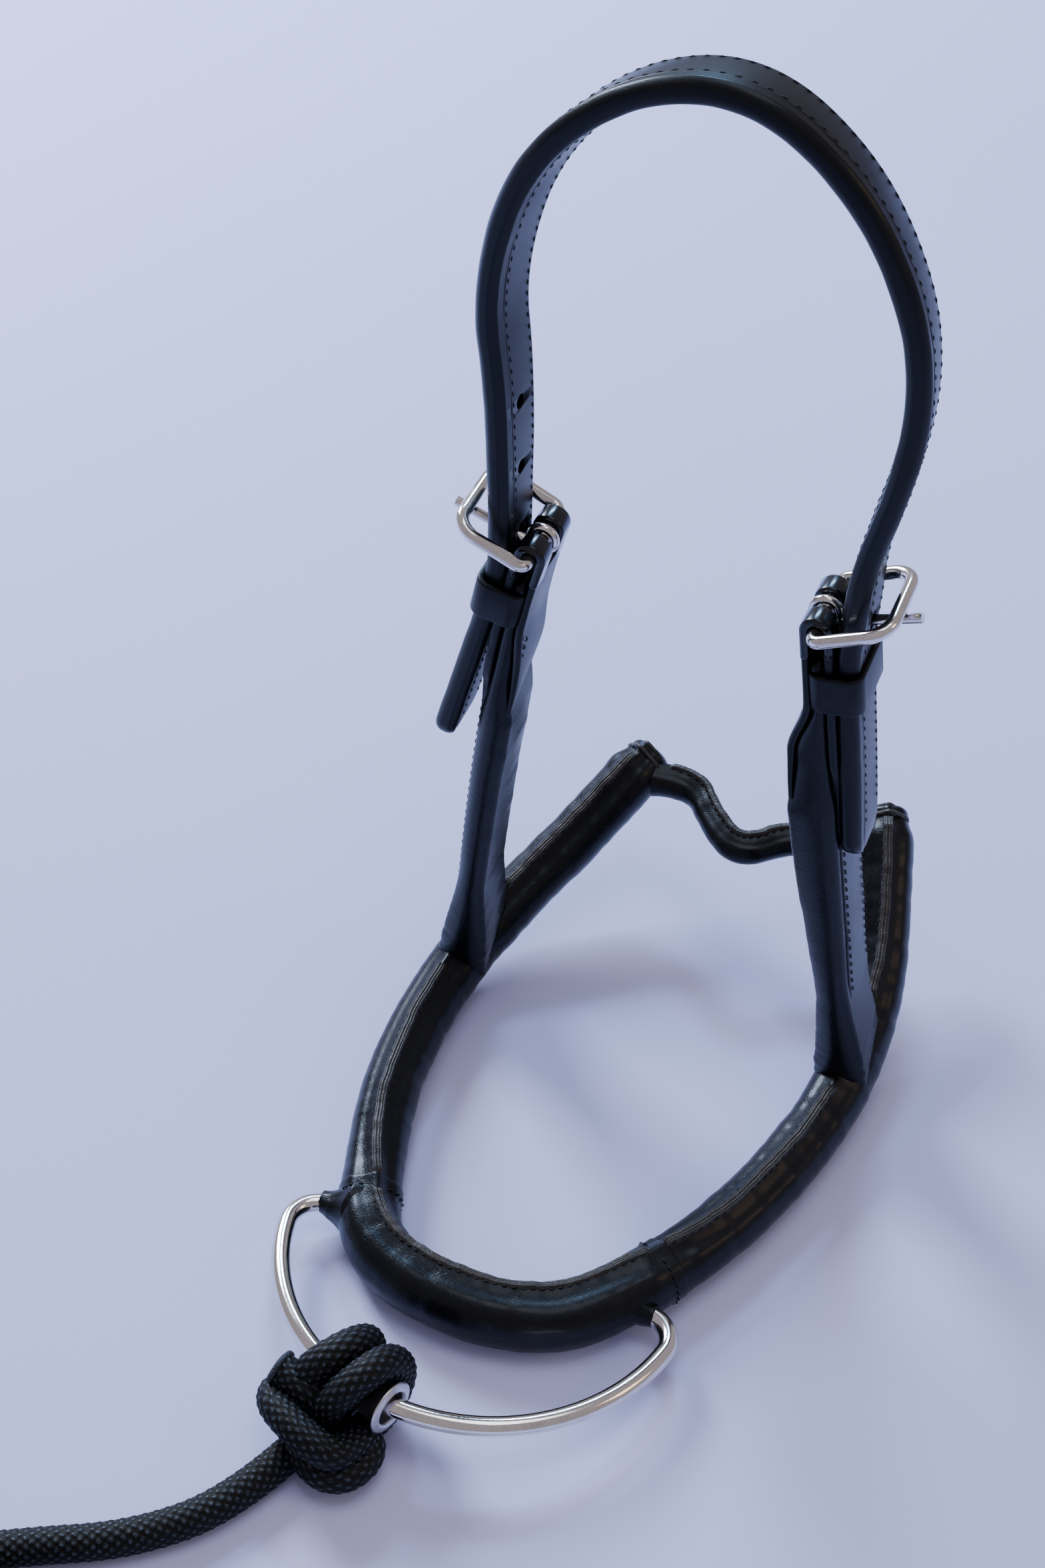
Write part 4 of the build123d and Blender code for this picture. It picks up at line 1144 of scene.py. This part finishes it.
@dataclass
class Headpiece:
    """The strap over the head: a padded body whose front edge is a roll, and a facing stitched to it."""

    width: float = 21.0
    thickness: float = 5.6
    facing: float = 0.9
    crown_tilt: float = 10.0
    upright_tilt: float = 3.0
    upright_x: float = 52.5
    hole_radius: float = 2.2
    hole_points: int = 24
    stitch_pitch: float = 3.6

    def __post_init__(self) -> None:
        """Read the strap's line."""
        self.path = Path.through(in_plane(LEFT_TAIL + ARCH + RIGHT_TAIL))

    def tail_taper(self, s: np.ndarray) -> np.ndarray:
        """How wide the strap is, from 0 to 1: round ends that a quarter circle draws in."""
        end = 9.0 * MM
        gap = np.clip(np.minimum(s, self.path.length - s) / end, 0, 1)
        return np.sqrt(np.clip(1 - (1 - gap) ** 2, 0.0, 1))

    def lean(self, s: np.ndarray) -> np.ndarray:
        """Where the strap's rear edge points: rearwards, and tilted down by up to crown_tilt at the top."""
        centre, side, _ = self.path.frames(s, REARWARD)
        from_middle = centre - np.array([0.0, HEAD_Y * MM, 0.25])
        outward = side * np.sign(np.sum(side * from_middle, axis=1, keepdims=True))
        height = ease(centre[:, 2], 0.235, 0.33)
        tilt = np.radians(self.upright_tilt * ease(centre[:, 2], 0.21, 0.24)
                          + (self.crown_tilt - self.upright_tilt) * height)[:, None]
        return np.cos(tilt) * REARWARD - np.sin(tilt) * outward

    def body(self) -> bpy.types.Object:
        """The padded body: a flat strap whose front edge swells to a round roll."""
        rows = int(self.path.length / (1.2 * MM))
        s = np.linspace(0, self.path.length, rows)
        across, height = rounded_box(self.width / 2, self.thickness / 2, 2.2, 64)
        roll = 0.7 * bump(across, -self.width / 2 + 2.9, 2.2)
        valley = (-0.4 * bump(across, -self.width / 2 + 5.6, 0.9)
                  - 0.25 * bump(across, self.width / 2 - 2.6, 0.9))
        swell = np.sign(height) * (roll + valley) * (np.abs(height) / (self.thickness / 2)) ** 2
        wander = 0.14 * drift(s, 31, 0.06)[:, None] * np.sign(height)
        taper = self.tail_taper(s)[:, None]
        thin = 0.55 + 0.45 * taper
        centre, side, top = self.path.frames(s, self.lean(s))
        heights = (height + swell + wander) * thin * MM
        grid = swept(centre, top, side, across * np.maximum(taper, 0.12) * MM, heights)
        return surface("headpiece_body", grid)

    def cut_holes(self, piece: bpy.types.Object) -> None:
        """Cut the punched holes and the tongue holes through a piece."""
        cutter = bpy.data.meshes.new("punch")
        vertices: list[tuple[float, ...]] = []
        faces: list[tuple[int, ...]] = []
        count = self.hole_points
        turn = np.linspace(0, 2 * pi, count, endpoint=False)
        for x in (-self.upright_x, self.upright_x):
            for z, stretch in ((228.0, 0.0), (250.0, 0.0), (204.0, 1.7)):
                base = len(vertices)
                y = HEAD_Y + self.hole_radius * np.cos(turn)
                height = z + self.hole_radius * np.sin(turn) + stretch * np.sign(np.sin(turn))
                for reach in (-8.0, 8.0):
                    vertices += [((x + reach) * MM, a * MM, b * MM) for a, b in zip(y, height)]
                for k in range(count):
                    onward = (k + 1) % count
                    faces.append((base + k, base + onward, base + count + onward, base + count + k))
                faces.append(tuple(base + k for k in reversed(range(count))))
                faces.append(tuple(base + count + k for k in range(count)))
        cutter.from_pydata(vertices, [], faces)
        tool = bpy.data.objects.new("punch", cutter)
        bpy.context.scene.collection.objects.link(tool)
        cut = piece.modifiers.new("holes", "BOOLEAN")
        cut.operation, cut.solver, cut.object = "DIFFERENCE", "EXACT", tool
        bpy.context.view_layer.update()
        done = bpy.data.meshes.new_from_object(piece.evaluated_get(bpy.context.evaluated_depsgraph_get()))
        piece.modifiers.clear()
        piece.data = done
        bpy.data.objects.remove(tool)
        bpy.data.meshes.remove(cutter)

    def facings(self) -> list[bpy.types.Object]:
        """Thin flat strips on both faces, from the roll to the rear edge, with a slight crown."""
        made = []
        rows = int(self.path.length / (1.2 * MM))
        s = np.linspace(0, self.path.length, rows)
        low, high = -self.width / 2 + 5.4, self.width / 2 - 1.2
        half = (high - low) / 2
        across, height = rounded_box(half, self.facing / 2, 0.5, 40)
        across = across + (low + high) / 2
        taper = self.tail_taper(s)[:, None]
        for name, face in (("outer", 1.0), ("inner", -1.0)):
            centre, side, top = self.path.frames(s, self.lean(s))
            lift = face * (self.thickness / 2 + 0.12) * (0.55 + 0.45 * taper)
            crown = face * 0.22 * (1 - ((across - (low + high) / 2) / half) ** 2)
            heights = (height + crown + lift) * MM
            grid = swept(centre, top, side, across * np.maximum(taper, 0.12) * MM, heights)
            made.append(surface(f"headpiece_facing_{name}", grid))
        return made

    def build(self) -> None:
        """Make the body, its facings, the holes and four rows of stitches."""
        body = self.body()
        self.cut_holes(body)
        settle(body, Finish.STRAP_LEATHER, "leather", "headpiece", "crown_lining", "crown_filler")
        for piece in self.facings():
            self.cut_holes(piece)
            nodes = ("crown_facing",) if piece.name.endswith("outer") else ()
            settle(piece, Finish.FACING_LEATHER, "leather", "headpiece", *nodes)
        for face, sign in (("outer", 1.0), ("inner", -1.0)):
            for edge, across in (("front", -self.width / 2 + 6.7), ("rear", self.width / 2 - 2.5)):
                row = stitch_row(f"headpiece_stitches_{face}_{edge}", self.path, 9, self.path.length / MM - 9,
                                 sign * (self.thickness / 2 + self.facing / 2 + 0.02), across,
                                 self.stitch_pitch, self.lean, long=2.4, thick=0.48, normal=(sign, 0.0))
                settle(row, Finish.THREAD, "seam", "headpiece")


@dataclass
class Cheek:
    """One cheek: a strap turned back round the buckle bar, its padding, its keeper and its stitches."""

    hand: str
    route: list[tuple[float, float]]
    inner_bulge: float
    strap_width: float = 22.0
    leather: float = 2.6
    bar_gap: float = 2.15
    pad_width: float = 25.0
    turnback: float = 58.0
    leg_gap: float = 7.2
    keeper_at: float = 14.0
    keeper_height: float = 13.0
    keeper_reach: float = 11.7
    pad_half: float = 3.4

    def __post_init__(self) -> None:
        """Read the cheek's line and the direction that points away from the head."""
        self.path = Path.through(in_plane(self.route))
        self.out = -1.0 if self.hand == "left" else 1.0

    def frames(self, s: np.ndarray) -> tuple[np.ndarray, np.ndarray, np.ndarray]:
        """Points, outward directions and rearward directions down the cheek."""
        centre, side, top = self.path.frames(s, REARWARD)
        outward = side * np.sign(side[:, :1] * self.out)
        return centre, outward, top

    def padding(self) -> None:
        """The padded cheek: a cushion with a rolled front edge, which narrows and opens out on the noseband.

        Its section is a rounded box with a roll at the front and a valley beside it. Down the last stretch it
        grows thicker and a little wider, so it sits over the tube.
        """
        first, last = 12.0 * MM, self.path.length + 5.0 * MM
        rows = int((last - first) / (1.1 * MM))
        s = np.linspace(first, last, rows)
        across, height = rounded_box(self.pad_width / 2, self.pad_half, 3.1, 80)
        lower = ease(s, 0.048, 0.070)[:, None]
        foot = ease(s, self.path.length - 0.045, self.path.length + 0.001)[:, None]
        roll = (1.2 * bump(across, -self.pad_width / 2 + 3.6, 3.0)
                + 0.5 * bump(across, self.pad_width / 2 - 2.5, 2.5))
        valley = -0.7 * bump(across, -self.pad_width / 2 + 7.8, 1.2)
        swell = np.sign(height) * (roll + valley * (1 - 0.7 * foot)) * (np.abs(height) / self.pad_half) ** 2
        inner = np.where(height < 0, 1.0, 0.0)
        thick = 0.62 + 0.38 * lower
        wide = (0.88 + 0.12 * lower) * (1 + 0.10 * foot)
        wander = 0.25 * drift(s, 41 if self.out < 0 else 43, 0.045)[:, None]
        waves = 2 * pi * s[:, None] / 0.0061 + across / 2 + 5 * drift(s, 45, 0.02)[:, None]
        creases = 0.10 * np.sin(waves) * foot
        knee = self.inner_bulge * (ease(s, 0.026, 0.046) * (1 - ease(s, 0.066, self.path.length)))[:, None]
        deeper = -knee * inner * np.sqrt(np.clip(1 - (across / (self.pad_width / 2)) ** 8, 0, 1))
        fat = 1 + 0.9 * foot
        centre, outward, rear = self.frames(s)
        offset = (-1.1 * lower - 0.2 + 0.3 * foot) * MM
        heights = ((height + swell * lower + wander * inner + creases) * thick * fat + deeper) * MM + offset
        grid = swept(centre, rear, outward, across * wide * MM, heights)
        piece = surface(f"{self.hand}_cheek_padding_leather", grid)
        self.hinge(Finish.NOSE_LEATHER.dress(piece))
        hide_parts(f"{self.hand}_cheek_padding")

    def hinge(self, piece: bpy.types.Object) -> None:
        """Bake a piece's place into its mesh."""
        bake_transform(piece)
        log.info("%s bends with the cheek", piece.name)

    def strap(self) -> None:
        """The facing down the outside, with its two rows of stitches, and the turned-back end inside."""
        mid = self.bar_gap + self.leather / 2
        first, last = 7.0 * MM, self.path.length - 2.0 * MM
        s = np.linspace(first, last, int((last - first) / (1.2 * MM)))
        across, height = rounded_box(self.strap_width / 2, self.leather / 2, 0.8, 48)
        foot = ease(s, last - 0.030, last)[:, None]
        narrow = 1 - 0.78 * foot ** 1.5
        wave = 0.6 * drift(s, 51, 0.05)[:, None] * ease(s, 0.02, 0.05)[:, None]
        shift = 1.5 * ease(s, 0.04, 0.07)[:, None]
        centre, outward, rear = self.frames(s)
        sides = (across * narrow * (1 - 0.12 * ease(s, 0.04, 0.07)[:, None]) + wave + shift) * MM
        bow = 0.35 * (1 - (across / (self.strap_width / 2)) ** 2)
        lower = ease(s, 0.045, 0.075)[:, None]
        crowned = height * (1 - 0.35 * lower) + np.where(height > 0, bow, 0)
        heights = (crowned + mid - 0.5 * lower + 2.2 * foot) * MM
        piece = surface(f"{self.hand}_cheek_facing", swept(centre, rear, outward, sides, heights))
        Finish.FACING_LEATHER.dress(piece)
        self.hinge(piece)
        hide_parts(f"{self.hand}_cheek_strap")
        for edge, offset in (("front", -7.4), ("rear", 9.8)):
            row = stitch_row(f"{self.hand}_cheek_stitches_{edge}", self.path, 34, self.path.length / MM - 36,
                             self.out_sign(s) * (mid + 0.56), offset + 0.8, 3.7, REARWARD,
                             long=2.4, thick=0.5, normal=(self.out_sign(s), 0.0))
            settle(row, Finish.THREAD, "seam", "headpiece")
        self.turned_back_end()

    def out_sign(self, s: np.ndarray) -> float:
        """The sign that turns the path's own side direction outwards."""
        _, side, _ = self.path.frames(s[:1], REARWARD)
        return float(np.sign(side[0, 0] * self.out))

    def turned_back_end(self) -> None:
        """The end that is turned back inside: a puffy strip, cut off on a slant, that thins to its end."""
        last = (self.turnback + 6.0) * MM
        first = 7.0 * MM
        s = np.linspace(first, last, 70)
        across, height = rounded_box(self.strap_width / 2, self.leather / 2, 1.1, 64)
        share = ease(s, last - 0.024, last)[:, None]
        low_edge = -self.strap_width / 2 * (1 - 0.05 * share)
        high_edge = self.strap_width / 2 - (self.strap_width - 3.0) * share
        sides = low_edge + (across / self.strap_width + 0.5) * (high_edge - low_edge)
        wave = 0.7 * np.sin(2 * pi * s[:, None] / 0.042 + 0.8) * ease(s, 0.02, 0.035)[:, None] * (across < 0)
        puff = 1.3 * (1 - (across / (self.strap_width / 2)) ** 2) * ease(s, 0.015, 0.04)[:, None]
        thin = 1 - 0.55 * share
        centre, outward, rear = self.frames(s)
        heights = -(self.bar_gap + self.leather / 2 - height * thin * 0.9
                    + np.where(height < 0, puff, 0) * thin + 0.9 * ease(s, 0.04, 0.06)[:, None]
                    + 0.9 * self.inner_bulge * ease(s, 0.026, 0.046)[:, None])
        grid = swept(centre, rear, outward, (sides + wave) * MM, heights * MM)
        settle(surface(f"{self.hand}_cheek_turnback", grid), Finish.STRAP_LEATHER, "leather", "headpiece")
        row = stitch_row(f"{self.hand}_turnback_stitches", self.path, 30, self.turnback - 12,
                         -self.out_sign(s) * (self.bar_gap + self.leather + 0.9), -8.6, 3.6, REARWARD,
                         long=2.3, thick=0.6, normal=(-self.out_sign(s), 0.0))
        settle(row, Finish.THREAD, "seam", "headpiece")

    def chape(self) -> None:
        """The two legs that go over the buckle bar: half rings of leather that run on into the strap."""
        mid = self.bar_gap + self.leather / 2
        centre, outward, rear = self.frames(np.array([0.0]))
        ahead = self.path.heading(np.array([0.0]))[0]
        down = ahead * (1.0 if ahead[2] < 0 else -1.0)
        straight = np.linspace(9.5, 0.5, 8)
        arc = np.linspace(0, pi, 28)
        level = np.full(len(straight), mid)
        out_line = np.concatenate([level, mid * np.cos(arc), -level])
        down_line = np.concatenate([straight, -mid * np.sin(arc), straight[::-1]])
        line = centre[0] + out_line[:, None] * MM * outward[0] + down_line[:, None] * MM * down
        path = Path.of(line)
        leg = (self.strap_width - self.leg_gap) / 2
        s = np.linspace(0, path.length, 60)
        across, height = rounded_box(leg / 2, self.leather / 2, 1.0, 40)
        crown = 0.25 * (1 - (across / (leg / 2)) ** 2)
        for number, side in ((1, -1.0), (2, 1.0)):
            points, sideways, top = path.frames(s, REARWARD)
            shift = side * (self.leg_gap + leg) / 2
            halfway = len(s) // 2
            outside = np.sign(np.sum(sideways[halfway] * (points[halfway] - centre[0])))
            heights = (height + np.where(height * outside > 0, outside * crown, 0)) * MM
            grid = swept(points, top, sideways, (across + shift) * MM, heights)
            piece = surface(f"{self.hand}_chape_leg_{number}", grid)
            settle(piece, Finish.CHAPE_LEATHER, "leather", "headpiece")

    def keeper(self) -> None:
        """The keeper: a band with a rounded section, carried round a rounded box about cheek and strap."""
        s = np.array([(self.keeper_at + self.keeper_height / 2) * MM])
        centre, outward, rear = self.frames(s)
        down = np.cross(outward[0], rear[0])
        far, near = self.keeper_reach + 0.6, -2.0
        half_w = self.strap_width / 2 + 1.1
        middle = (far + near) / 2
        ring_y, ring_x = rounded_box(half_w, (far - near) / 2, 3.6, 96)
        spots = centre[0] + (ring_x + middle)[:, None] * MM * outward[0] + ring_y[:, None] * MM * rear[0]
        away = unit(np.stack([np.gradient(np.concatenate([ring_x[-1:], ring_x, ring_x[:1]]))[1:-1],
                              np.gradient(np.concatenate([ring_y[-1:], ring_y, ring_y[:1]]))[1:-1]], -1))
        normal = away[:, 1:2] * outward[0] - away[:, 0:1] * rear[0]
        flip = np.sign(np.sum(normal * (spots - spots.mean(0)), axis=1, keepdims=True))
        normal = normal * flip
        across, height = rounded_box(self.keeper_height / 2, 0.95, 0.75, 36)
        bow = 0.4 * (1 - (across / (self.keeper_height / 2)) ** 2)
        heights = height + np.where(height > 0, bow, 0)
        grid = swept(spots, np.tile(down, (len(spots), 1)), normal, across * MM, heights * MM)
        grid = np.concatenate([grid, grid[:1]])
        settle(surface(f"{self.hand}_keeper_band", grid, capped=False), Finish.STRAP_LEATHER, "leather",
               "headpiece", f"{self.hand}_keeper")

    def build(self) -> None:
        """Make every piece of the cheek."""
        self.padding()
        self.strap()
        self.chape()
        self.keeper()


# ---- metal -----------------------------------------------------------------------------------
class Metalwork:
    """Finishes for the bail and buckles, which are the CAD's own shapes."""

    def build(self) -> None:
        """Dress each metal node."""
        steel = ["bail", "left_buckle_frame", "right_buckle_frame", "left_buckle_tongue",
                 "right_buckle_tongue"]
        for name in steel:
            Finish.STEEL.dress(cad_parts[name])
        log.info("metal dressed: %s", ", ".join(steel))


# ---- studio ----------------------------------------------------------------------------------
@dataclass
class Studio:
    """Camera, floor and lights."""

    camera_at: tuple[float, float, float] = (0.144, -0.428, 0.616)
    azimuth: float = 22.0
    elevation: float = 45.0
    lens: float = 52.04
    sensor: float = 36.0
    floor_colour: tuple[float, float, float] = (0.575, 0.61, 0.96)

    def camera(self) -> None:
        """A camera that looks down at the headcollar from its front right."""
        data = bpy.data.cameras.new("camera")
        data.lens, data.sensor_height, data.sensor_fit = self.lens, self.sensor, "VERTICAL"
        holder = bpy.data.objects.new("camera", data)
        turn, fall = radians(self.azimuth), radians(self.elevation)
        ahead = Vector((-sin(turn) * cos(fall), cos(turn) * cos(fall), -sin(fall)))
        facing = ahead.to_track_quat("-Z", "Y").to_matrix().to_4x4()
        holder.matrix_world = Matrix.Translation(self.camera_at) @ facing
        bpy.context.scene.collection.objects.link(holder)
        bpy.context.scene.camera = holder

    def floor(self) -> None:
        """A wide level floor."""
        mesh = bpy.data.meshes.new("floor")
        reach = 60.0
        mesh.from_pydata([(-reach, -reach, 0), (reach, -reach, 0), (reach, reach, 0), (-reach, reach, 0)], [],
                         [(0, 1, 2, 3)])
        piece = bpy.data.objects.new("floor", mesh)
        bpy.context.scene.collection.objects.link(piece)
        material, n, shader = new_material("floor_card")
        place = n.add("ShaderNodeTexCoord").outputs["Object"]
        tone = n.add("ShaderNodeTexNoise", Vector=place, Scale=1.6, Detail=1.0)
        darker = tuple(0.94 * c for c in self.floor_colour)
        n.tree.links.new(n.blend(n.ramp(tone.outputs[0], 0.3, 0.7), darker, self.floor_colour),
                         shader.inputs["Base Color"])
        shader.inputs["Roughness"].default_value = 0.75
        shader.inputs["Specular IOR Level"].default_value = 0.2
        mesh.materials.append(material)

    def light(self, name: str, at: tuple[float, float, float], size: tuple[float, float], power: float,
              colour: tuple[float, float, float]) -> None:
        """A soft rectangular light that faces the headcollar.

        Args:
            name: its name.
            at: its place in metres.
            size: its width and height.
            power: watts.
            colour: its colour.
        """
        data = bpy.data.lights.new(name, "AREA")
        data.shape, data.size, data.size_y = "RECTANGLE", *size
        data.energy, data.color = power, colour
        holder = bpy.data.objects.new(name, data)
        aim = Vector((0.0, 0.0, 0.1)) - Vector(at)
        holder.matrix_world = Matrix.Translation(at) @ aim.to_track_quat("-Z", "Y").to_matrix().to_4x4()
        bpy.context.scene.collection.objects.link(holder)

    def lights(self) -> None:
        """Cool window light from the upper left, a weak warm one from the right, and a pale sky."""
        self.light("window", (-1.4, 1.0, 1.1), (0.6, 0.7), 60.0, (0.72, 0.81, 1.0))
        self.light("strip", (-0.6, 1.7, 1.6), (0.5, 0.22), 26.0, (0.40, 0.66, 1.0))
        self.light("lamp", (1.5, 0.2, 1.1), (0.5, 0.6), 3.0, (1.0, 0.66, 0.42))
        self.light("sky_panel", (0.1, 0.2, 2.2), (1.2, 1.0), 13.0, (0.86, 0.88, 1.0))
        world = bpy.data.worlds.new("studio")
        bpy.context.scene.world = world
        world.use_nodes = True
        back = world.node_tree.nodes["Background"]
        back.inputs["Color"].default_value = (0.86, 0.78, 0.86, 1.0)
        back.inputs["Strength"].default_value = 0.46

    def build(self) -> None:
        """Make the camera, floor and lights."""
        self.camera()
        self.floor()
        self.lights()


def main() -> None:
    """Build the studio, the rope and every part of the headcollar, in that order."""
    logging.basicConfig(level=logging.INFO, format="%(name)s: %(message)s")
    Studio().build()
    rope = LeadRope()
    rope.build()
    Eyelet().build(rope)
    Noseband().build()
    Headpiece().build()
    for hand, route, bulge in (("left", LEFT_CHEEK, 1.5), ("right", RIGHT_CHEEK, 6.5)):
        Cheek(hand, route, bulge).build()
    Metalwork().build()


if __name__ == "__main__":
    main()
